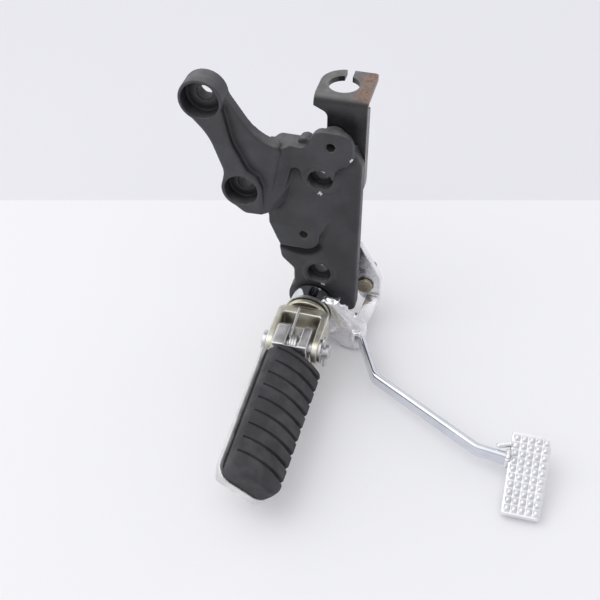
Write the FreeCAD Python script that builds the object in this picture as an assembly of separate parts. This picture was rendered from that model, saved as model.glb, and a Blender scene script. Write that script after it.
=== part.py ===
import FreeCAD, Part
import math
import os

# Footrest bracket for the right side of a motorbike: a cast bracket that carries a
# folding footrest in a clevis, a brake pedal on the clevis shank, and a guide tab.
# Millimetres. +X is forward, +Y is inboard, +Z is up in the pose it stands in.
# The origin is the upper frame bolt, on the face that meets the frame.

V = FreeCAD.Vector
ORIGIN = V(0, 0, 0)
ALONG_X = V(1, 0, 0)
ALONG_Y = V(0, 1, 0)
ALONG_Z = V(0, 0, 1)

# Clearances shared by every fit
RUNNING = 0.05        # radial, pins and bushes that turn
FREE = 0.3            # between pieces that pass each other
WELD_GAP = 0.1        # root gap under a weld
BOLT_FREE = 0.25      # radial, bolts in plain holes

# Frame bolts and the arm that joins them
FRAME_BOLT_AHEAD = 19.9
FRAME_BOLT_DROP = 52.7
FRAME_BOLT_HOLE = 8.5
UPPER_SEAT = 20.5
UPPER_BOSS = 24.0
LOWER_SEAT = 18.5
LOWER_BOSS = 22.5
BOSS_LENGTH = 13.0
FRAME_SEAT_DEPTH = 8.5
FRAME_SPIGOT = 13.0
FRAME_SPIGOT_REACH = 4.2
BOSS_FACE_LIFT = 1.0
POCKET_DEPTH = 4.5
ARM_EDGE_ROUND = 1.6
ARM_TOP_RUN = 14.5
ARM_TOP_ROUND = 28.0
BOSS_BACK_ROUND = 0.6

# Plate of the bracket
PLATE_SETBACK = 14.0
PLATE_THICK = 8.0
PLATE_FRONT_EDGE = 83.2
PLATE_TOP = -26.0
PLATE_BOTTOM = -140.7
PLATE_EDGE_ROUND = 1.4
PLATE_LAP = 10.5      # how far plate and pads run in under the arm's web
SHOULDER_TOP_X = 41.5
SHOULDER_FOOT_SIDE = 13.6
SHOULDER_FOOT_DROP = 14.3
SHOULDER_RUN = 8.5
NECK_SIDE = 14.2      # from the low guard screw to the plate's edge
NECK_DROP = 10.8
NICK = 1.1
NICK_DROP = 14.6
WAIST_DROP = 22.2
WAIST_ROUND = 5.0
HIP_SIDE = 20.8
HIP_RISE = 5.5
HIP_ROUND = 4.0
PLATE_HOLE_X = 61.0
PLATE_HOLE_Z = -46.9
PLATE_HOLE_SPACING = 67.4
PLATE_HOLE = 8.5
PLATE_SEAT = 13.6
PLATE_SEAT_DEPTH = 6.0
PLATE_BOSS = 13.0
PLATE_BOSS_REACH = 4.0
SEAT_RING = 3.0
SEAT_RING_LIFT = 0.8

# Pads for the two guard screws
PAD_LIFT = 3.5
EAR_SETBACK = 16.6     # from the plate's front edge
EAR_Z = -24.1
EAR_SIDE = 8.2
EAR_RISE = 9.2
EAR_THICK = 4.8
EAR_BOSS_RADIUS = 7.2
EAR_BOSS_LENGTH = 10.8
LOW_PAD_X = 52.2
LOW_PAD_Z = -85.0
LOW_PAD_RADIUS = 9.2
LOW_PAD_RAMP = 15.0
GUARD_THREAD = 5.0
LUG_RADIUS = 4.3

# Guide tab, pressed from sheet and bolted behind the plate
TAB_SHEET = 3.0
TAB_BEND = 2.0
TAB_WIDTH = 21.2
TAB_FOOT_Z = -55.5
TAB_TOP_Z = -1.0
TAB_SHELF_WIDTH = 28.8
TAB_SHELF_REACH = 29.5
TAB_SIDE_REACH = 8.0
TAB_RING_HOLE = 16.8
TAB_RING_SLOT = 4.2
TAB_RING_SETBACK = 15.8
TAB_RING_REACH = 14.6
TAB_BOLT = 6.0
TAB_BOLT_SETBACK = 8.7
TAB_BOLT_Z = -32.0
TAB_BOLT_SPACING = 13.5
TAB_BOLT_LENGTH = 9.0
TAB_HEAD_ACROSS = 8.0
TAB_HEAD_FLANGE = 10.5
TAB_HEAD_HEIGHT = 5.5

# Pivot shared by the pedal and the footrest clevis
PIVOT_X = 57.5
PIVOT_Z = -135.2
PIVOT_BOSS_RADIUS = 15.0
SHANK = 15.0
STUD = 12.0
STUD_FLATS = 10.0
PEDAL_ROOM = 15.6
THRUST_WASHER = 26.6
REAR_WASHER = 22.0
THRUST_WASHER_THICK = 1.5
SEAL_OUTER = 25.0
SEAL_THICK = 1.2
NUT_ACROSS = 18.0
NUT_HEIGHT = 10.0
STUD_WASHER = 24.0
STUD_WASHER_THICK = 2.0
STUD_TAIL = 2.5

# Footrest clevis and its pin
CLEVIS_DISC = 25.6
CLEVIS_DISC_THICK = 3.0
CLEVIS_WIDTH = 30.4
CLEVIS_GAP = 22.4
CLEVIS_WALL_REACH = 10.4
CLEVIS_TOP_RISE = 10.7
CLEVIS_FOOT_DROP = 11.5
CLEVIS_ROOT = 1.5
ARM_END_RADIUS = 6.5
PIN = 8.0
PIN_REACH = 30.4
PIN_RISE = 4.2
PIN_HEAD = 12.7
PIN_HEAD_THICK = 2.4
PIN_WASHER = 14.0
PIN_WASHER_THICK = 1.4
PIN_TAIL = 4.6
SPLIT_PIN = 2.0
SPLIT_PIN_LENGTH = 16.0
SPLIT_EYE_RADIUS = 2.4

# Torsion spring that holds the footrest down
SPRING_WIRE = 1.6
SPRING_INNER = 9.6
SPRING_TURNS = 3.25
SPRING_SIDE_PLAY = 0.5

# Footrest body and its rubber, rolled about the pivot axis
REST_ROLL = 35.5
REST_WALL_GAP = 0.4
REST_LENGTH = 90.6
REST_WIDTH_IN = 35.0
REST_WIDTH_OUT = 32.4
TRAY_FLOOR_DROP = 7.8
TRAY_RIM_DROP = 1.0
TRAY_WALL = 2.2
TRAY_FLOOR = 3.0
TRAY_END_WALL = 2.0
TRAY_END_RISE = 2.0
WALL_INSET = 3.5
EAR_LEFT_WIDTH = 7.4
EAR_RIGHT_WIDTH = 5.4
SPRING_SLOT = 7.4
EAR_BACK_REACH = 16.0
EAR_TOP_RISE = 8.0
HEEL_TOP_DROP = 6.5
HEEL_FOOT_DROP = 12.5
RUBBER_SHOULDER = 7.0
RUBBER_CROWN = 11.5
RUBBER_OVERHANG = 0.6
REST_END_ROUND = 9.0
REST_NEAR_ROUND = 8.0
REST_HINGE_ROUND = 3.0
REST_NOSE_ROUND = 4.0
RUBBER_EDGE_ROUND = 1.6
GROOVES = 9
GROOVE_PITCH = 9.15
GROOVE_WIDTH = 2.7
GROOVE_START = 1.0
GROOVE_DEPTH = 1.9
GROOVE_FALL = 4.0
GROOVE_FIRST = 3.5
GROOVE_SHOULDER = 4.2
RUBBER_SCREW = 6.0
RUBBER_SCREW_HEAD = 11.0
RUBBER_SCREW_HEAD_HEIGHT = 3.2
RUBBER_SCREW_BITE = 5.0
RUBBER_SCREW_SPACING = 50.0

# Brake pedal
TUBE = 24.0
BUSH_WALL = 1.5
BUSH_FLANGE_THICK = 1.0
BUSH_FLANGE = 20.0
ROOT_THICK = 6.5
ROOT_SETBACK = 0.5
ROOT_TOP_RISE = 9.0
ROOT_FOOT_DROP = 19.6
ROOT_LOBE_DROP = 22.2
ROOT_LOBE_REACH = 3.6
BAR_HEIGHT = 8.0
BAR_THICK = 4.4
BAR_DROP = 15.8
STRAP_CLEARANCE = 1.5
STRAP_DRIFT = 2.3
BAR_BEND = 9.0
BAR_EDGE_ROUND = 1.9
BEND_ONE_REACH = 31.4
BEND_ONE_AHEAD = 47.0
BEND_TWO_REACH = 68.4
BEND_TWO_AHEAD = 109.5
BAR_END_DRIFT = 3.0
FOOT_PAD_PAST_BEND = 27.0
FOOT_PAD_DRIFT = 12.8
FOOT_PAD_DROP = 9.8
FOOT_PAD_WIDTH = 19.6
FOOT_PAD_LENGTH = 42.6
FOOT_PAD_THICK = 4.0
FOOT_PAD_TILT = 17.0
FOOT_PAD_EDGE = 0.8
FOOT_PAD_LIP = 3.0
TOOTH_ROWS = 10
TOOTH_FILES = 5
TOOTH_HEIGHT = 1.5
TOOTH_TOP = 0.9

# Rear lever that works the brake rod
LEVER_THICK = 4.2
LEVER_BEHIND = 12.0
LEVER_PIN_X = 27.5
LEVER_PIN_DROP = 0.3
LEVER_PIN = 8.0
LEVER_PIN_SHANK = 10.0
LEVER_PIN_COLLAR = 0.5
LEVER_PIN_GROOVE = 1.6
LEVER_PIN_HEAD = 12.0
LEVER_PIN_HEAD_THICK = 2.5
LEVER_PIN_REACH = 14.0
LEVER_END_HOLE = 5.0
LEVER_END_X = 19.5
LEVER_END_RISE = 25.0
LEVER_END_RADIUS = 6.0

# Derived places
arm_front = -BOSS_LENGTH
arm_back = -BOSS_FACE_LIFT
web_front = arm_front + POCKET_DEPTH
plate_front = arm_front + PLATE_SETBACK
plate_back = plate_front + PLATE_THICK
pad_front = plate_front - PAD_LIFT
lower_x = FRAME_BOLT_AHEAD
lower_z = -FRAME_BOLT_DROP
neck_x = LOW_PAD_X - NECK_SIDE
ear_x = PLATE_FRONT_EDGE - EAR_SETBACK
tab_left = PLATE_FRONT_EDGE - TAB_WIDTH
tab_shelf_left = PLATE_FRONT_EDGE - TAB_SHELF_WIDTH
tab_ring_x = PLATE_FRONT_EDGE - TAB_RING_SETBACK
tab_bolt_x = PLATE_FRONT_EDGE - TAB_BOLT_SETBACK
clevis_back = plate_front - PEDAL_ROOM
clevis_wall = clevis_back - CLEVIS_WALL_REACH
pin_y = clevis_back - PIN_REACH
pin_z = PIVOT_Z + PIN_RISE
arm_tip = pin_y - ARM_END_RADIUS
rest_wall = arm_tip - REST_WALL_GAP
rest_inner = rest_wall - TRAY_END_WALL
rest_outer = rest_inner - REST_LENGTH
washer_bore = SHANK + 2 * BOLT_FREE
tube_front = clevis_back + SEAL_THICK + THRUST_WASHER_THICK + FREE
tube_back = plate_front - THRUST_WASHER_THICK - FREE
root_front = tube_front + ROOT_SETBACK
root_back = root_front + ROOT_THICK
arm_root = root_front - ROOT_LOBE_REACH
strap_left = PLATE_FRONT_EDGE + STRAP_CLEARANCE
bar_foot = PIVOT_Z - BAR_DROP
bar_top = bar_foot + BAR_HEIGHT
strap_foot = bar_top - BAR_THICK
strap_right = strap_left + BAR_HEIGHT
lever_front = plate_back + LEVER_BEHIND
lever_back = lever_front + LEVER_THICK
bend_one_x = PIVOT_X + BEND_ONE_AHEAD
bend_one_y = root_front - BEND_ONE_REACH
bend_two_x = PIVOT_X + BEND_TWO_AHEAD
bend_two_y = root_front - BEND_TWO_REACH
foot_pad_x = bend_two_x + FOOT_PAD_PAST_BEND
foot_pad_y = bend_two_y - FOOT_PAD_DRIFT
pad_left = foot_pad_x - FOOT_PAD_WIDTH / 2
ear_left = PIVOT_X - CLEVIS_GAP / 2 + FREE
slot_left = ear_left + EAR_LEFT_WIDTH
slot_right = slot_left + SPRING_SLOT


def around(x, z, radius, degrees):
    """Point on a circle in the XZ plane, counted from +X towards +Z."""
    turn = math.radians(degrees)
    return x + radius * math.cos(turn), z + radius * math.sin(turn)


def rounded_wire(corners, place):
    """Closed outline through (a, b, radius) corners, each rounded by a tangent arc."""
    spans = []
    for index, (a, b, radius) in enumerate(corners):
        here = place(a, b)
        if radius == 0:
            spans.append((here, None, here))
            continue
        before = place(*corners[index - 1][:2]) - here
        after = place(*corners[(index + 1) % len(corners)][:2]) - here
        half = before.getAngle(after) / 2
        before.normalize()
        after.normalize()
        middle = before + after
        middle.normalize()
        tangent = radius / math.tan(half)
        bulge = radius / math.sin(half) - radius
        spans.append((here + before * tangent, here + middle * bulge, here + after * tangent))
    edges = []
    for index, (start, middle, end) in enumerate(spans):
        if middle is not None:
            edges.append(Part.Arc(start, middle, end).toShape())
        following = spans[(index + 1) % len(spans)][0]
        if end.distanceToPoint(following) > 1e-6:
            edges.append(Part.LineSegment(end, following).toShape())
    return Part.Wire(edges)


def slab(corners, y_from, y_to):
    """Plate of an XZ outline between two depths."""
    wire = rounded_wire(corners, lambda x, z: V(x, y_from, z))
    return Part.Face(wire).extrude(V(0, y_to - y_from, 0))


def rod_y(x, z, diameter, y_from, y_to):
    """Cylinder along Y."""
    return Part.makeCylinder(diameter / 2, y_to - y_from, V(x, y_from, z), ALONG_Y)


def rod_x(y, z, diameter, x_from, x_to):
    """Cylinder along X."""
    return Part.makeCylinder(diameter / 2, x_to - x_from, V(x_from, y, z), ALONG_X)


def block(x_from, x_to, y_from, y_to, z_from, z_to):
    """Box between two corners."""
    return Part.makeBox(x_to - x_from, y_to - y_from, z_to - z_from, V(x_from, y_from, z_from))


def hexagon_y(x, z, across, y_from, y_to):
    """Hexagonal prism along Y."""
    corner = across / math.cos(math.radians(30)) / 2
    points = [around(x, z, corner, 60 * step) + (0,) for step in range(6)]
    return slab(points, y_from, y_to)


def edges_at(solid, axis, level):
    """Edges that lie in the plane where one coordinate has the given value."""
    return [edge for edge in solid.Edges
            if all(abs(vertex.Point[axis] - level) < 1e-6 for vertex in edge.Vertexes)]


def soft_front(solid, level, radius):
    """Round the edges of a slab's front face."""
    return solid.makeFillet(radius, edges_at(solid, 1, level))


def washer_y(x, z, outer, bore, y_from, y_to):
    """Flat ring along Y."""
    return rod_y(x, z, outer, y_from, y_to).cut(rod_y(x, z, bore, y_from, y_to))


# Bracket casting

def arm_rib():
    """Raised rib that joins the two frame bosses."""
    upper = UPPER_BOSS / 2
    lower = LOWER_BOSS / 2
    outline = [
        around(0, 0, upper, 205) + (0,),
        (lower_x - 16.7, lower_z + 32.2, 34),
        (lower_x - 9.3, lower_z + 10.7, 10),
        around(lower_x, lower_z, lower, 175) + (0,),
        around(lower_x, lower_z, lower, 225) + (0,),
        (lower_x + 1.6, lower_z - 15.3, 5),
        (lower_x + 12.6, lower_z - 14.9, 1.5),
        (lower_x + 11.7, lower_z + 2.4, 5),
        (lower_x + 9.0, lower_z + 8.8, 3),
        (lower_x + 3.5, lower_z + 12.4, 7),
        (lower_x - 4.7, lower_z + 29.1, 30),
        around(0, 0, upper, -20) + (0,),
    ]
    rib = soft_front(slab(outline, arm_front, arm_back), arm_front, ARM_EDGE_ROUND)
    for x, z, boss in ((0, 0, UPPER_BOSS), (lower_x, lower_z, LOWER_BOSS)):
        ring = soft_front(rod_y(x, z, boss, arm_front, 0), arm_front, ARM_EDGE_ROUND / 2)
        ring = ring.makeFillet(BOSS_BACK_ROUND, edges_at(ring, 1, 0))
        rib = rib.fuse([ring, rod_y(x, z, FRAME_SPIGOT, arm_back, FRAME_SPIGOT_REACH)])
    return rib


def arm_web():
    """Recessed web behind the rib, and the shoulder where it meets the plate."""
    foot_z = lower_z - SHOULDER_FOOT_DROP
    edge_top = (SHOULDER_TOP_X, PLATE_TOP + 0.5, 4)
    edge_foot = (lower_x + SHOULDER_FOOT_SIDE, foot_z, 2)
    web = [
        around(0, 0, UPPER_BOSS / 2, 5) + (0,),
        (SHOULDER_TOP_X - ARM_TOP_RUN, PLATE_TOP + 4.5, ARM_TOP_ROUND),
        edge_top,
        edge_foot,
        (lower_x, lower_z - 12.5, 0),
        (lower_x - 6, lower_z + 10, 0),
        around(0, 0, UPPER_BOSS / 2, 215) + (0,),
    ]
    shoulder_top = PLATE_TOP - PAD_LIFT
    shoulder = [
        (SHOULDER_TOP_X - PLATE_LAP, shoulder_top, 0),
        (SHOULDER_TOP_X - 0.8, shoulder_top, 3),
        edge_foot,
        (lower_x + SHOULDER_FOOT_SIDE - PLATE_LAP, foot_z, 0),
    ]
    front = soft_front(slab(web, web_front, arm_back), web_front, ARM_EDGE_ROUND)
    back = soft_front(slab(shoulder, web_front, plate_back), web_front, ARM_EDGE_ROUND)
    sections = []
    ends = ((SHOULDER_TOP_X - 0.8, shoulder_top - 1.0), (lower_x + SHOULDER_FOOT_SIDE, foot_z + 1.0))
    for edge_x, z in ends:
        inside = edge_x - PLATE_LAP / 2
        sections.append(rounded_wire([
            (inside, web_front + 1.2, 0),
            (edge_x - 0.4, web_front + 1.2, 0),
            (edge_x + SHOULDER_RUN, plate_front + 0.5, 0),
            (inside, plate_front + 0.5, 0),
        ], lambda x, y, z=z: V(x, y, z)))
    slope = Part.makeLoft(sections, True, True)
    return front.fuse([back, slope])


def plate():
    """Flat plate with its pivot boss."""
    outline = [
        (SHOULDER_TOP_X - PLATE_LAP, PLATE_TOP - 6.0, 0),
        (SHOULDER_TOP_X - 4.5, PLATE_TOP, 5),
        (PLATE_FRONT_EDGE - 4.4, PLATE_TOP - 1.0, 2),
        (PLATE_FRONT_EDGE, PLATE_TOP - 11.0, 6),
        (PLATE_FRONT_EDGE, PLATE_BOTTOM, 4),
        (PIVOT_X + 15.0, PLATE_BOTTOM, 4),
        (PIVOT_X + 8.0, PIVOT_Z - 9.0, 0),
        (PIVOT_X - 11.9, PIVOT_Z - 4.0, 0),
        (PIVOT_X - 11.9, PIVOT_Z + 20.5, 4),
        (neck_x, LOW_PAD_Z - WAIST_DROP, WAIST_ROUND),
        (neck_x - NICK, LOW_PAD_Z - NICK_DROP, NICK),
        (neck_x, LOW_PAD_Z - NECK_DROP, NICK),
        (LOW_PAD_X - HIP_SIDE, LOW_PAD_Z + HIP_RISE, HIP_ROUND),
        (lower_x + SHOULDER_FOOT_SIDE - HIP_ROUND * 1.8, lower_z - SHOULDER_FOOT_DROP + 1.3, 0),
    ]
    body = soft_front(slab(outline, plate_front, plate_back), plate_front, PLATE_EDGE_ROUND)
    return body.fuse(rod_y(PIVOT_X, PIVOT_Z, 2 * PIVOT_BOSS_RADIUS, plate_front, plate_back))


def raised_pads():
    """Ear and low pad that stand proud of the plate for the guard screws."""
    hole = PLATE_SEAT / 2 + SEAT_RING + 1.5
    ear = [
        (SHOULDER_TOP_X - 3.0, PLATE_TOP + 0.2, 0),
        (ear_x - 14.0, PLATE_TOP - 0.6, 5),
        (ear_x - EAR_SIDE, EAR_Z + EAR_RISE, 7),
        (ear_x + EAR_SIDE + 3.6, EAR_Z + EAR_RISE - 0.4, 9),
        (ear_x + EAR_SIDE + 4.2, EAR_Z - 6.0, 3),
        (ear_x + 9.0, EAR_Z - 10.8, 4),
        (PLATE_HOLE_X + hole - 2.0, PLATE_HOLE_Z + 9.0, 4),
        (PLATE_HOLE_X + hole - 4.5, PLATE_HOLE_Z, 0),
        (PLATE_HOLE_X - hole + 2.0, PLATE_HOLE_Z - 2.0, 0),
        (PLATE_HOLE_X - hole - 0.5, PLATE_HOLE_Z + 7.5, 2),
        (SHOULDER_TOP_X + 3.7, PLATE_HOLE_Z + 5.5, 2.5),
        (SHOULDER_TOP_X + 0.5, PLATE_HOLE_Z - 8.0, 0),
        (SHOULDER_TOP_X - 5.5, PLATE_HOLE_Z - 8.0, 0),
    ]
    low = [
        (LOW_PAD_X - HIP_SIDE + 0.6, LOW_PAD_Z + HIP_RISE - 0.7, 2),
        (LOW_PAD_X - HIP_SIDE, LOW_PAD_Z + LOW_PAD_RAMP + 2, 0),
        (LOW_PAD_X + LOW_PAD_RADIUS, LOW_PAD_Z + LOW_PAD_RAMP + 2, 0),
        (LOW_PAD_X + LOW_PAD_RADIUS, LOW_PAD_Z - LOW_PAD_RADIUS - 1.2, LOW_PAD_RADIUS - 1),
        (neck_x + 0.4, LOW_PAD_Z - NECK_DROP + 0.4, 1.0),
    ]
    lift = PLATE_EDGE_ROUND
    ear_back = pad_front + EAR_THICK
    pads = soft_front(slab(ear, pad_front, ear_back), pad_front, lift)
    ramp = Part.Face(rounded_wire([
        (pad_front, LOW_PAD_Z - 2 * LOW_PAD_RADIUS, 0),
        (pad_front, LOW_PAD_Z + GUARD_THREAD, 0),
        (plate_front + 0.4, LOW_PAD_Z + LOW_PAD_RAMP, 0),
        (plate_front + 1, LOW_PAD_Z + LOW_PAD_RAMP, 0),
        (plate_front + 1, LOW_PAD_Z - 2 * LOW_PAD_RADIUS, 0),
    ], lambda y, z: V(0, y, z))).extrude(V(PLATE_FRONT_EDGE, 0, 0))
    low_pad = soft_front(slab(low, pad_front, plate_front + 1), pad_front, lift)
    pads = pads.fuse(low_pad.common(ramp))
    boss_end = pad_front + EAR_BOSS_LENGTH
    pads = pads.fuse(rod_y(ear_x, EAR_Z, 2 * EAR_BOSS_RADIUS, pad_front + lift, boss_end))
    lug = rod_y(ear_x - 14.4, PLATE_TOP - 0.8, 2 * LUG_RADIUS, plate_front, plate_back - 1)
    return pads.fuse(soft_front(lug, plate_front, 1.2))


def plate_hole_heights():
    """Heights of the two counterbored holes in the plate."""
    return [PLATE_HOLE_Z, PLATE_HOLE_Z - PLATE_HOLE_SPACING]


def seat_rings():
    """Low rings round the two plate holes, and the bosses behind them."""
    rings = []
    face = plate_front - SEAT_RING_LIFT
    for z in plate_hole_heights():
        ring = rod_y(PLATE_HOLE_X, z, PLATE_SEAT + 2 * SEAT_RING, face, plate_front + 1)
        rings.append(soft_front(ring, face, SEAT_RING_LIFT * 0.7))
        rings.append(rod_y(PLATE_HOLE_X, z, PLATE_BOSS, plate_back - 1, plate_back + PLATE_BOSS_REACH))
    return rings


def stepped_hole(x, z, seat, hole, y_front, depth, y_back):
    """Counterbored hole along Y."""
    return rod_y(x, z, seat, y_front - 5, y_front + depth).fuse(rod_y(x, z, hole, y_front, y_back + 5))


def stud_outline(clearance, y_from, y_to):
    """Round bar with two flats, the form that keeps the clevis from turning."""
    reach = STUD / 2 + clearance
    flat = STUD_FLATS / 2 + clearance
    bar = rod_y(PIVOT_X, PIVOT_Z, 2 * reach, y_from, y_to)
    return bar.common(block(PIVOT_X - flat, PIVOT_X + flat, y_from, y_to, PIVOT_Z - STUD, PIVOT_Z + STUD))


def bracket_casting():
    """Cast bracket: arm, plate, pads and every hole."""
    body = plate().fuse([arm_web(), arm_rib(), raised_pads()] + seat_rings())
    cuts = [
        stepped_hole(0, 0, UPPER_SEAT, FRAME_BOLT_HOLE, arm_front, FRAME_SEAT_DEPTH, 0),
        stepped_hole(lower_x, lower_z, LOWER_SEAT, FRAME_BOLT_HOLE, arm_front, FRAME_SEAT_DEPTH, 0),
        rod_y(ear_x, EAR_Z, GUARD_THREAD, pad_front - 1, plate_back + 1),
        rod_y(LOW_PAD_X, LOW_PAD_Z, GUARD_THREAD, pad_front - 1, plate_back + 1),
        stud_outline(BOLT_FREE, plate_front - 1, plate_back + 1),
        rod_y(PIVOT_X, PIVOT_Z, THRUST_WASHER + 4 * FREE, plate_front - 5, plate_front),
    ]
    for z in plate_hole_heights():
        cuts.append(stepped_hole(PLATE_HOLE_X, z, PLATE_SEAT, PLATE_HOLE, plate_front,
                                 PLATE_SEAT_DEPTH, plate_back))
    thread_end = plate_back - TAB_BOLT_LENGTH + TAB_SHEET
    for z in tab_bolt_heights():
        cuts.append(rod_y(tab_bolt_x, z, TAB_BOLT, thread_end, plate_back + 1))
    return body.cut(cuts).removeSplitter()


# Guide tab

def tab_bolt_heights():
    """Heights of the two bolts that hold the tab."""
    return [TAB_BOLT_Z, TAB_BOLT_Z - TAB_BOLT_SPACING]


def guide_tab():
    """Folded tab: strip behind the plate, side flange, and shelf with an open ring hole."""
    front = plate_back
    back = front + TAB_SHEET
    bend_in = TAB_BEND
    bend_out = TAB_BEND + TAB_SHEET
    strip = slab([
        (tab_left, TAB_FOOT_Z, 3),
        (PLATE_FRONT_EDGE, TAB_FOOT_Z, 0),
        (PLATE_FRONT_EDGE, TAB_TOP_Z - bend_out, 0),
        (tab_shelf_left, TAB_TOP_Z - bend_out, 0),
        (tab_shelf_left, TAB_TOP_Z - bend_out - 0.8, 0),
        (tab_left, TAB_TOP_Z - bend_out - 4.5, 4),
    ], front, back)
    side = block(PLATE_FRONT_EDGE - TAB_SHEET, PLATE_FRONT_EDGE, front, front + TAB_SIDE_REACH,
                 TAB_FOOT_Z, TAB_TOP_Z - bend_out - 1.5)
    side_end = edges_at(side, 1, front + TAB_SIDE_REACH)
    side = side.makeFillet(2.0, [edge for edge in side_end if edge.BoundBox.ZLength < 1e-6])
    axis_y = front + bend_out
    axis_z = TAB_TOP_Z - bend_out
    width = PLATE_FRONT_EDGE - tab_shelf_left
    bend = rod_x(axis_y, axis_z, 2 * bend_out, tab_shelf_left, PLATE_FRONT_EDGE)
    bend = bend.cut(rod_x(axis_y, axis_z, 2 * bend_in, tab_shelf_left, PLATE_FRONT_EDGE))
    bend = bend.common(Part.makeBox(width, bend_out, bend_out, V(tab_shelf_left, front, axis_z)))
    shelf_back = front + TAB_SHELF_REACH
    shelf = Part.Face(rounded_wire([
        (tab_shelf_left, axis_y, 0),
        (PLATE_FRONT_EDGE, axis_y, 0),
        (PLATE_FRONT_EDGE, shelf_back, 2),
        (tab_shelf_left, shelf_back, 13),
    ], lambda x, y: V(x, y, TAB_TOP_Z - TAB_SHEET))).extrude(V(0, 0, TAB_SHEET))
    ring_y = front + TAB_RING_REACH
    tab = strip.fuse([side, bend, shelf])
    ring_foot = V(tab_ring_x, ring_y, TAB_TOP_Z - 3 * TAB_SHEET)
    ring = Part.makeCylinder(TAB_RING_HOLE / 2, 4 * TAB_SHEET, ring_foot)
    mouth = block(tab_ring_x - 1.4, tab_ring_x - 1.4 + TAB_RING_SLOT, ring_y, shelf_back + 1,
                  TAB_TOP_Z - 2 * TAB_SHEET, TAB_TOP_Z + 1)
    relief = rod_y(PLATE_HOLE_X, PLATE_HOLE_Z, PLATE_BOSS + 4 * FREE, front - 1, back + 1)
    holes = [ring, mouth, relief]
    for z in tab_bolt_heights():
        holes.append(rod_y(tab_bolt_x, z, TAB_BOLT + 2 * BOLT_FREE, front - 1, back + 1))
    return tab.cut(holes).removeSplitter()


def tab_bolts():
    """Two flange bolts that hold the tab from behind."""
    seat = plate_back + TAB_SHEET
    bolts = []
    for z in tab_bolt_heights():
        shank = rod_y(tab_bolt_x, z, TAB_BOLT - 2 * RUNNING, seat - TAB_BOLT_LENGTH + 0.5, seat)
        flange = rod_y(tab_bolt_x, z, TAB_HEAD_FLANGE, seat, seat + 1.2)
        head = hexagon_y(tab_bolt_x, z, TAB_HEAD_ACROSS, seat, seat + TAB_HEAD_HEIGHT)
        bolts.append(shank.fuse([flange, head]).removeSplitter())
    return Part.makeCompound(bolts)


# Footrest clevis, its shank and what clamps it

def footrest_clevis():
    """Forged clevis with its shank and threaded stud."""
    half = CLEVIS_WIDTH / 2
    gap = CLEVIS_GAP / 2
    disc_front = clevis_back - CLEVIS_DISC_THICK
    tip = arm_tip
    top = PIVOT_Z + CLEVIS_TOP_RISE
    foot = PIVOT_Z - CLEVIS_FOOT_DROP
    plan = Part.Face(rounded_wire([
        (PIVOT_X - half + 4, disc_front, 2),
        (PIVOT_X - half, disc_front - 4, 5),
        (PIVOT_X - half, tip, 0),
        (PIVOT_X - gap, tip, 0),
        (PIVOT_X - gap, clevis_wall, CLEVIS_ROOT),
        (PIVOT_X + gap, clevis_wall, CLEVIS_ROOT),
        (PIVOT_X + gap, tip, 0),
        (PIVOT_X + half, tip, 0),
        (PIVOT_X + half, disc_front - 4, 5),
        (PIVOT_X + half - 4, disc_front, 2),
    ], lambda x, y: V(x, y, foot))).extrude(V(0, 0, top - foot))
    side = Part.Face(rounded_wire([
        (disc_front, foot + 2, 3),
        (disc_front, top - 1, 3),
        (clevis_wall + 3, top, 4),
        (tip, pin_z + ARM_END_RADIUS, ARM_END_RADIUS - 0.01),
        (tip, pin_z - ARM_END_RADIUS, ARM_END_RADIUS - 0.01),
        (clevis_wall - 4, foot, 8),
        (disc_front - 3, foot, 2),
    ], lambda y, z: V(PIVOT_X - half, y, z))).extrude(V(CLEVIS_WIDTH, 0, 0))
    fork = plan.common(side)
    disc = rod_y(PIVOT_X, PIVOT_Z, CLEVIS_DISC, disc_front, clevis_back)
    shank = rod_y(PIVOT_X, PIVOT_Z, SHANK, disc_front, plate_front)
    stud_end = plate_back + STUD_WASHER_THICK + NUT_HEIGHT + STUD_TAIL
    stud = stud_outline(0, disc_front, plate_back)
    thread = rod_y(PIVOT_X, PIVOT_Z, STUD_FLATS, disc_front, stud_end)
    pin_hole = rod_x(pin_y, pin_z, PIN + 2 * RUNNING, PIVOT_X - half - 1, PIVOT_X + half + 1)
    return fork.fuse([disc, shank, stud, thread]).cut(pin_hole).removeSplitter()


def dust_seal():
    """Rubber ring between the clevis and the outer thrust washer."""
    return washer_y(PIVOT_X, PIVOT_Z, SEAL_OUTER, washer_bore, clevis_back, clevis_back + SEAL_THICK)


def thrust_washers():
    """Two thrust washers, one at each end of the pedal tube."""
    washers = []
    places = ((THRUST_WASHER, clevis_back + SEAL_THICK), (REAR_WASHER, plate_front - THRUST_WASHER_THICK))
    for outer, y in places:
        washers.append(washer_y(PIVOT_X, PIVOT_Z, outer, washer_bore, y, y + THRUST_WASHER_THICK))
    return Part.makeCompound(washers)


def stud_washer():
    """Plain washer behind the plate."""
    return washer_y(PIVOT_X, PIVOT_Z, STUD_WASHER, STUD_FLATS + 2 * BOLT_FREE,
                    plate_back, plate_back + STUD_WASHER_THICK)


def stud_nut():
    """Hexagon nut that clamps the clevis to the plate."""
    start = plate_back + STUD_WASHER_THICK
    nut = hexagon_y(PIVOT_X, PIVOT_Z, NUT_ACROSS, start, start + NUT_HEIGHT)
    foot = V(PIVOT_X, start, PIVOT_Z)
    cone = Part.makeCone(NUT_ACROSS / 2 + NUT_HEIGHT, NUT_ACROSS / 2, NUT_HEIGHT, foot, ALONG_Y)
    bore = rod_y(PIVOT_X, PIVOT_Z, STUD_FLATS + 2 * RUNNING, start - 1, start + NUT_HEIGHT + 1)
    return nut.common(cone).cut(bore)


def pin_end():
    """X of the far side of the washer on the pin."""
    return PIVOT_X + CLEVIS_WIDTH / 2 + PIN_WASHER_THICK + FREE / 2


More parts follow.
